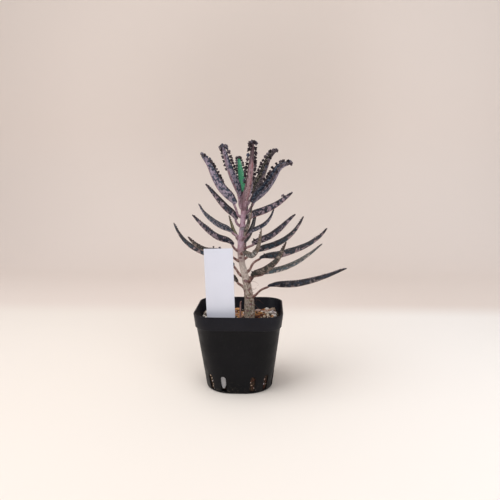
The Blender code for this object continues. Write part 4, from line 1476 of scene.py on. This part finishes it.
# %% [markdown]
# ## Leaf skin
# The skin is the plant's signature. On a ground of mauve grey lie blue-black patches, darkest at
# their outline, with teal in their middle. The keel is a thin rosy line, the edge and the tip are
# dark. The groove side has its own colours. All leaves share one recipe. What changes from skin to
# skin is a row of colours and how much of the ground the patches cover. The patches read the
# leaf's own map, not its place, so that they keep their size and follow the blade where it bends.

# %% Skins
# across and along: how many patches fit in 10 mm of the underside. tip: where the dark tip begins.
Skin = namedtuple(
    "Skin", "ground pale patch core cover across along inside inside_patch inside_cover keel edge tip"
)
SKINS = {
    "dark": Skin(
        (116, 102, 100), (138, 130, 134), (22, 22, 29), (34, 44, 60), 0.44, 1.3, 2.0,
        (94, 88, 85), (20, 19, 22), 0.47, (140, 98, 84), (26, 22, 24), 0.80,
    ),
    "brown": Skin(
        (126, 112, 104), (148, 138, 130), (46, 40, 38), (60, 62, 58), 0.48, 1.9, 2.7,
        (112, 102, 88), (46, 41, 36), 0.51, (124, 88, 76), (60, 44, 38), 0.78,
    ),
    "striped": Skin(
        (168, 166, 162), (190, 189, 186), (48, 46, 48), (62, 60, 62), 0.49, 0.4, 6.0,
        (140, 132, 120), (60, 52, 44), 0.50, (122, 90, 78), (96, 78, 64), 0.50,
    ),
    "pale": Skin(
        (154, 143, 141), (182, 175, 171), (46, 56, 66), (66, 90, 100), 0.485, 1.5, 2.4,
        (144, 142, 134), (70, 80, 82), 0.51, (160, 128, 120), (92, 84, 76), 0.90,
    ),
    "teal": Skin(
        (138, 117, 122), (166, 150, 154), (24, 26, 36), (38, 60, 74), 0.455, 1.35, 2.0,
        (118, 112, 110), (36, 44, 52), 0.485, (168, 106, 110), (46, 36, 38), 0.84,
    ),
    "mottled": Skin(
        (130, 111, 122), (158, 143, 154), (26, 23, 32), (40, 50, 66), 0.462, 2.2, 3.2,
        (118, 108, 112), (38, 37, 45), 0.50, (146, 98, 102), (48, 36, 40), 0.84,
    ),
    "netted": Skin(
        (148, 138, 152), (174, 167, 178), (38, 48, 66), (48, 76, 94), 0.49, 3.4, 4.4,
        (122, 118, 124), (38, 46, 57), 0.50, (146, 110, 118), (54, 44, 50), 0.86,
    ),
    "mauve": Skin(
        (139, 126, 142), (164, 153, 172), (46, 49, 66), (58, 78, 96), 0.51, 3.4, 3.0,
        (96, 106, 122), (30, 37, 54), 0.48, (134, 98, 106), (54, 42, 48), 0.90,
    ),
    "rosy": Skin(
        (146, 118, 124), (168, 141, 150), (84, 60, 66), (90, 70, 82), 0.54, 2.4, 1.6,
        (112, 110, 118), (40, 38, 48), 0.52, (136, 82, 88), (52, 38, 42), 0.66,
    ),
    "speckled": Skin(
        (130, 112, 118), (150, 134, 138), (56, 46, 52), (62, 62, 76), 0.54, 2.6, 2.6,
        (132, 124, 110), (42, 38, 38), 0.49, (132, 92, 94), (52, 42, 44), 0.90,
    ),
    "emerald": Skin(
        (80, 138, 112), (116, 168, 142), (52, 92, 80), (60, 98, 92), 0.57, 2.2, 2.2,
        (58, 138, 100), (112, 172, 138), 0.60, (112, 112, 100), (74, 128, 104), 0.97,
    ),
    "faded": Skin(
        (154, 148, 116), (176, 171, 142), (100, 98, 70), (118, 114, 86), 0.55, 2.0, 2.4,
        (142, 138, 104), (90, 88, 60), 0.55, (154, 124, 102), (100, 80, 60), 0.86,
    ),
}
MARGIN_COVER = 0.14  # how much denser the patches are at the edge than at the keel
PATCH_SOFT = 0.045


# %% Patches on the skin
def patches(tree, vector, rim, cover, ground, pale, patch, core):
    """Soft-edged patches over a mottled ground. cover is the noise level where they start."""
    field = clouds(tree, vector, 1.0, 1.6, 0.7)
    leaning = raised(tree, field, rim, MARGIN_COVER)
    start = cover + MARGIN_COVER / 2
    light = window(tree, clouds(tree, vector, 2.8, 2.0, 0.4), 0.42, 0.66)
    inner = product(
        tree, window(tree, leaning, start + 0.02, start + 0.07),
        window(tree, clouds(tree, vector, 1.4, 1.0), 0.40, 0.58),
    )
    spot = mixed(tree, inner, patch, core)
    share = window(tree, leaning, start - PATCH_SOFT, start + PATCH_SOFT)
    return mixed(tree, share, mixed(tree, light, ground, pale), spot), field


# %% One recipe for every skin
def leaf_look(skin):
    """A leaf's finish from a skin's row of colours."""
    def build(tree):
        vector = object_place(tree)
        rim, inner = attribute(tree, "rim"), attribute(tree, "inner")
        along, blade = attribute(tree, "along"), attribute(tree, "blade")
        pattern = node(tree, "UVMap", uv_map="Pattern").outputs["UV"]
        slanted = scaled(tree, pattern, (skin.across, skin.along, 1), 0.35)
        outside, field = patches(
            tree, slanted, rim, skin.cover, skin.ground, skin.pale, skin.patch, skin.core
        )
        fine = scaled(tree, pattern, (4.6, 5.4, 1), -0.3)
        groove, _ = patches(
            tree, fine, rim, skin.inside_cover, skin.inside, skin.inside, skin.inside_patch,
            skin.inside_patch,
        )
        flecks = window(tree, clouds(tree, fine, 1.3, 2.0), 0.60, 0.65, 0, 0.75)
        outside = mixed(tree, flecks, outside, skin.patch)
        freckles = window(tree, clouds(tree, vector, 1100, 3), 0.52, 0.70, 0, 0.3)
        outside = mixed(tree, freckles, outside, skin.pale)
        skin_colour = mixed(tree, window(tree, inner, 0.3, 0.7), outside, groove)
        keel = product(tree, window(tree, rim, 0.20, 0.06), window(tree, inner, 0.3, 0.1))
        uneven = window(tree, clouds(tree, vector, 160, 2), 0.35, 0.65, 0.25, 0.95)
        skin_colour = mixed(tree, product(tree, keel, uneven), skin_colour, skin.keel)
        streaky = clouds(tree, vector, 380, 3, 0.4)
        low_stalk = ramp(
            tree, streaky, (0.36, (92, 60, 58)), (0.5, (128, 92, 85)), (0.66, (162, 134, 126))
        )
        high_stalk = ramp(
            tree, streaky, (0.36, (118, 88, 96)), (0.5, (146, 118, 130)), (0.66, (170, 144, 156))
        )
        height = height_of(tree, vector)
        stalk = mixed(tree, window(tree, height, 0.130, 0.170), low_stalk, high_stalk)
        skin_colour = mixed(tree, window(tree, blade, 0.75, 0.3), skin_colour, stalk)
        edge = product(tree, window(tree, rim, 0.86, 0.99), window(tree, blade, 0.5, 0.9))
        skin_colour = mixed(tree, product(tree, edge, 0.85), skin_colour, skin.edge)
        tipped = window(tree, along, skin.tip, skin.tip + 0.16, 0, 0.75)
        skin_colour = mixed(tree, tipped, skin_colour, skin.edge)
        grain = bumped(tree, clouds(tree, vector, 900, 4), 0.15 * MM, 0.5)
        return {
            "Base Color": skin_colour,
            "Roughness": window(tree, clouds(tree, vector, 350, 3), 0.3, 0.7, 0.42, 0.58),
            "Normal": bumped(tree, field, 0.25 * MM, 0.35, grain),
        }

    return build


SKIN_LOOKS = {
    name: finish("skin_" + name, leaf_look(skin), specular=0.35) for name, skin in SKINS.items()
}

# %% Grow the leaves
leaf_edges = {}
for number, leaf in enumerate(LEAVES, start=1):
    blade_mesh, leaf_edges[number] = leaf_mesh(number, leaf)
    count = len(blade_mesh.faces)
    piece(f"blade_{number:02d}", blade_mesh, SKIN_LOOKS[leaf.skin], "leaf", f"leaf_{number:02d}")
print("leaves:", len(LEAVES), "faces in the last:", count)


# %% [markdown]
# ## Plantlets
# The plant is named for these: along the edges of the young crown leaves sit rows of tiny plants,
# each on a short stalk, with two crossed pairs of thick dark leaflets. They crowd at the tips. A
# few shapes are made once, from a stalk and squashed spheres that lean outwards, and copied along
# the edges with small changes of size and turn. Lower leaves have only dark buds between teeth. As
# there are many, each shape has few faces, and smooth shading rounds it.

# %% Plantlet shapes
def plantlet(seed):
    """A tiny plant of about 1 across: a stalk along +Z and two crossed pairs of round leaflets."""
    rng = random.Random(seed)
    bm = bmesh.new()
    stalk = bmesh.ops.create_cone(
        bm, segments=4, radius1=0.15, radius2=0.11, depth=0.46, cap_ends=True
    )["verts"]
    bmesh.ops.translate(bm, verts=stalk, vec=(0, 0, 0.18))
    for pair, (tilt, size) in enumerate(((58, 0.34), (26, 0.31))):
        for hand in (0, 180):
            made = bmesh.ops.create_uvsphere(bm, u_segments=6, v_segments=4, radius=1)["verts"]
            length = size * rng.uniform(0.88, 1.12)
            shape = Matrix.Diagonal((size * 0.95, size * 0.52, length, 1))
            grow = Matrix.Translation((0, 0, length * 0.75))
            lean = Matrix.Rotation(math.radians(tilt + rng.uniform(-10, 10)), 4, "X")
            turn = Matrix.Rotation(math.radians(hand + 90 * pair + rng.uniform(-14, 14)), 4, "Z")
            lift = Matrix.Translation((0, 0, 0.20 + 0.06 * pair))
            bmesh.ops.transform(bm, matrix=lift @ turn @ lean @ grow @ shape, verts=made)
    return as_shape(bm)


def bud(seed):
    """A round bud about 1 across, to be sunk into the edge."""
    rng = random.Random(seed)
    bm = bmesh.new()
    bmesh.ops.create_icosphere(bm, subdivisions=1, radius=0.5)
    bmesh.ops.scale(bm, vec=(rng.uniform(0.9, 1.1), 0.8, 0.9), verts=bm.verts)
    return as_shape(bm)


def horn():
    """A pointed, curved ear about 1 long, as the leaf's shoulders have."""
    bm = bmesh.new()
    bmesh.ops.create_uvsphere(bm, u_segments=8, v_segments=6, radius=0.5)
    for vert in bm.verts:
        vert.co.z *= 1.0 if vert.co.z < 0 else 1.4 - 0.9 * math.hypot(vert.co.x, vert.co.y)
        vert.co.x = 1.3 * vert.co.x + 0.25 * max(vert.co.z, 0) ** 2
        vert.co.y *= 0.7
    return as_shape(bm)


YOUNG_KINDS = 5
BUD_KINDS = 3
HORN = YOUNG_KINDS + BUD_KINDS
SHAPES = [plantlet(seed) for seed in range(YOUNG_KINDS)]
SHAPES += [bud(seed) for seed in range(BUD_KINDS)] + [horn()]


# %% [markdown]
# ## Rows along the edges
# The leaves were built from rows, and kept where their edges run and which way they face. A walk
# along each edge sets a plantlet at every step, a little less than its own size from the last, and
# turns it outwards. So the plantlets stay seated when a leaf's row is changed.

# %% Sizes and places
# Mean size of a leaf's plantlets, in mm.
HEADS = {21: 3.5, 22: 4.0, 23: 5.0, 24: 4.8, 25: 4.4, 26: 3.4, 27: 2.8}
PLANTLET_SPACING = 0.92  # in head sizes
# Lone plantlets lower down: leaf, share of the blade, which edge, size in mm.
LONE = ((19, 0.81, 1, 3.8), (19, 0.82, 0, 2.6), (8, 0.28, 0, 3.0), (8, 0.36, 1, 2.8))
# Ears at the shoulders: leaf, which edge, size in mm.
EARS = ((3, 0, 3.0), (3, 1, 2.4), (12, 0, 3.0), (12, 1, 2.8), (6, 0, 1.8))
ROW_START = 0.05  # share of the blade
ROW_END = 0.985
TIP_TURNS = (-75, -38, 0, 38, 75)
TIP_SPREAD = 1.4 * MM
TIP_ROW = -3  # the leaf's row that the tip's plantlets grow from
TINY_LEAF = 30 * MM  # shorter leaves carry nothing


def pointing(direction, turn):
    """A rotation that takes +Z to a direction, turned about it."""
    return direction.to_track_quat("Z", "Y").to_matrix().to_4x4() @ Matrix.Rotation(turn, 4, "Z")


def nearest(edges, along):
    """The edges' places and directions nearest to a share of the blade."""
    return min(edges, key=lambda item: abs(item[0] - along))[1:]


def stood_up(edges, along, hand, size, forward):
    """Where a single small growth stands on an edge, and how large it is."""
    rims, onward, side, up = nearest(edges, along)
    direction = (up + side * (hand * 2 - 1) * 0.25 + onward * forward).normalized()
    return Matrix.Translation(rims[hand]) @ pointing(direction, 0.4) @ Matrix.Scale(size, 4)


# %% Along both edges
def plantlets_on(number, leaf, rng):
    """Places for the plantlets and buds along both edges of a leaf."""
    copies = []
    edges = leaf_edges[number]
    length = leaf.length - leaf.petiole
    for hand in (0, 1):
        along = ROW_START + rng.uniform(0, 0.03)
        while along < ROW_END:
            rims, onward, side, up = nearest(edges, along)
            young = leaf.young and along > 1 - leaf.young
            outward = side * (hand * 2 - 1)
            direction = outward + up * 0.1 if young else outward * 0.3 + up
            direction += onward * rng.uniform(0, 0.3) + Vector([rng.gauss(0, 0.12) for _ in range(3)])
            direction.normalize()
            if young:
                grown = smooth((along - (1 - leaf.young)) / 0.15 + 0.35)
                size = HEADS[number] * MM * rng.uniform(0.9, 1.12) * (0.6 + 0.4 * grown)
                shape = rng.randrange(YOUNG_KINDS)
                spacing = PLANTLET_SPACING * size
            else:
                marked = smooth((along - (1 - leaf.toothed)) / 0.2) if leaf.toothed else 0.35
                size = (0.6 + 1.1 * marked * rng.uniform(0.8, 1.1)) * MM
                shape = YOUNG_KINDS + rng.randrange(BUD_KINDS)
                spacing = TOOTH_SPACING
            sunk = 0.1 * MM if young else size * 0.12
            matrix = Matrix.Translation(rims[hand] - direction * sunk)
            matrix = matrix @ pointing(direction, rng.uniform(0, math.tau)) @ Matrix.Scale(size, 4)
            copies.append((shape, matrix, rng.random()))
            along += spacing / length * rng.uniform(0.85, 1.15)
    for leaf_number, share, hand, size in LONE:
        if leaf_number == number:
            shape = rng.randrange(YOUNG_KINDS)
            copies.append((shape, stood_up(edges, share, hand, size * MM, 0.0), rng.random()))
    for leaf_number, hand, size in EARS:
        if leaf_number == number:
            copies.append((HORN, stood_up(edges, ROW_START, hand, size * MM, -0.3), 0.1))
    return copies


# %% Round the tip
def tip_cluster(number, rng):
    """Plantlets crowding round a blunt young tip."""
    _, rims, onward, side, up = leaf_edges[number][TIP_ROW]
    centre = (rims[0] + rims[1]) / 2
    copies = []
    for turn in TIP_TURNS:
        angle = math.radians(turn + rng.uniform(-8, 8))
        direction = onward * math.cos(angle) + side * math.sin(angle) + up * rng.uniform(0, 0.5)
        size = HEADS[number] * MM * rng.uniform(0.95, 1.1)
        matrix = Matrix.Translation(centre + side * math.sin(angle) * TIP_SPREAD)
        matrix = matrix @ pointing(direction.normalized(), rng.uniform(0, math.tau))
        copies.append((rng.randrange(YOUNG_KINDS), matrix @ Matrix.Scale(size, 4), rng.random()))
    return copies


# %% Finish of the young leaves
def young_look(tree):
    vector = object_place(tree)
    kind = ramp(
        tree, attribute(tree, "tone"), (0.0, (34, 25, 30)), (0.35, (54, 42, 48)), (0.65, (88, 75, 82)),
        (0.85, (132, 120, 128)), (1.0, (70, 76, 96)),
    )
    spots = window(tree, clouds(tree, vector, 900, 3), 0.45, 0.60, 0, 0.7)
    return {
        "Base Color": mixed(tree, spots, kind, (30, 24, 28)),
        "Normal": bumped(tree, clouds(tree, vector, 2000, 2), 0.1 * MM, 0.4),
    }


# %% Grow the plantlets
young = finish("young_leaf", young_look, roughness=0.5, specular=0.25)
rng = random.Random(33)
total = 0
for number, leaf in enumerate(LEAVES, start=1):
    if leaf.length < TINY_LEAF:
        continue
    copies = plantlets_on(number, leaf, rng)
    if leaf.young:
        copies += tip_cluster(number, rng)
    total += len(copies)
    piece(f"plantlets_{number:02d}", scatter(SHAPES, copies), young, "leaf")
print("plantlets and buds:", total)
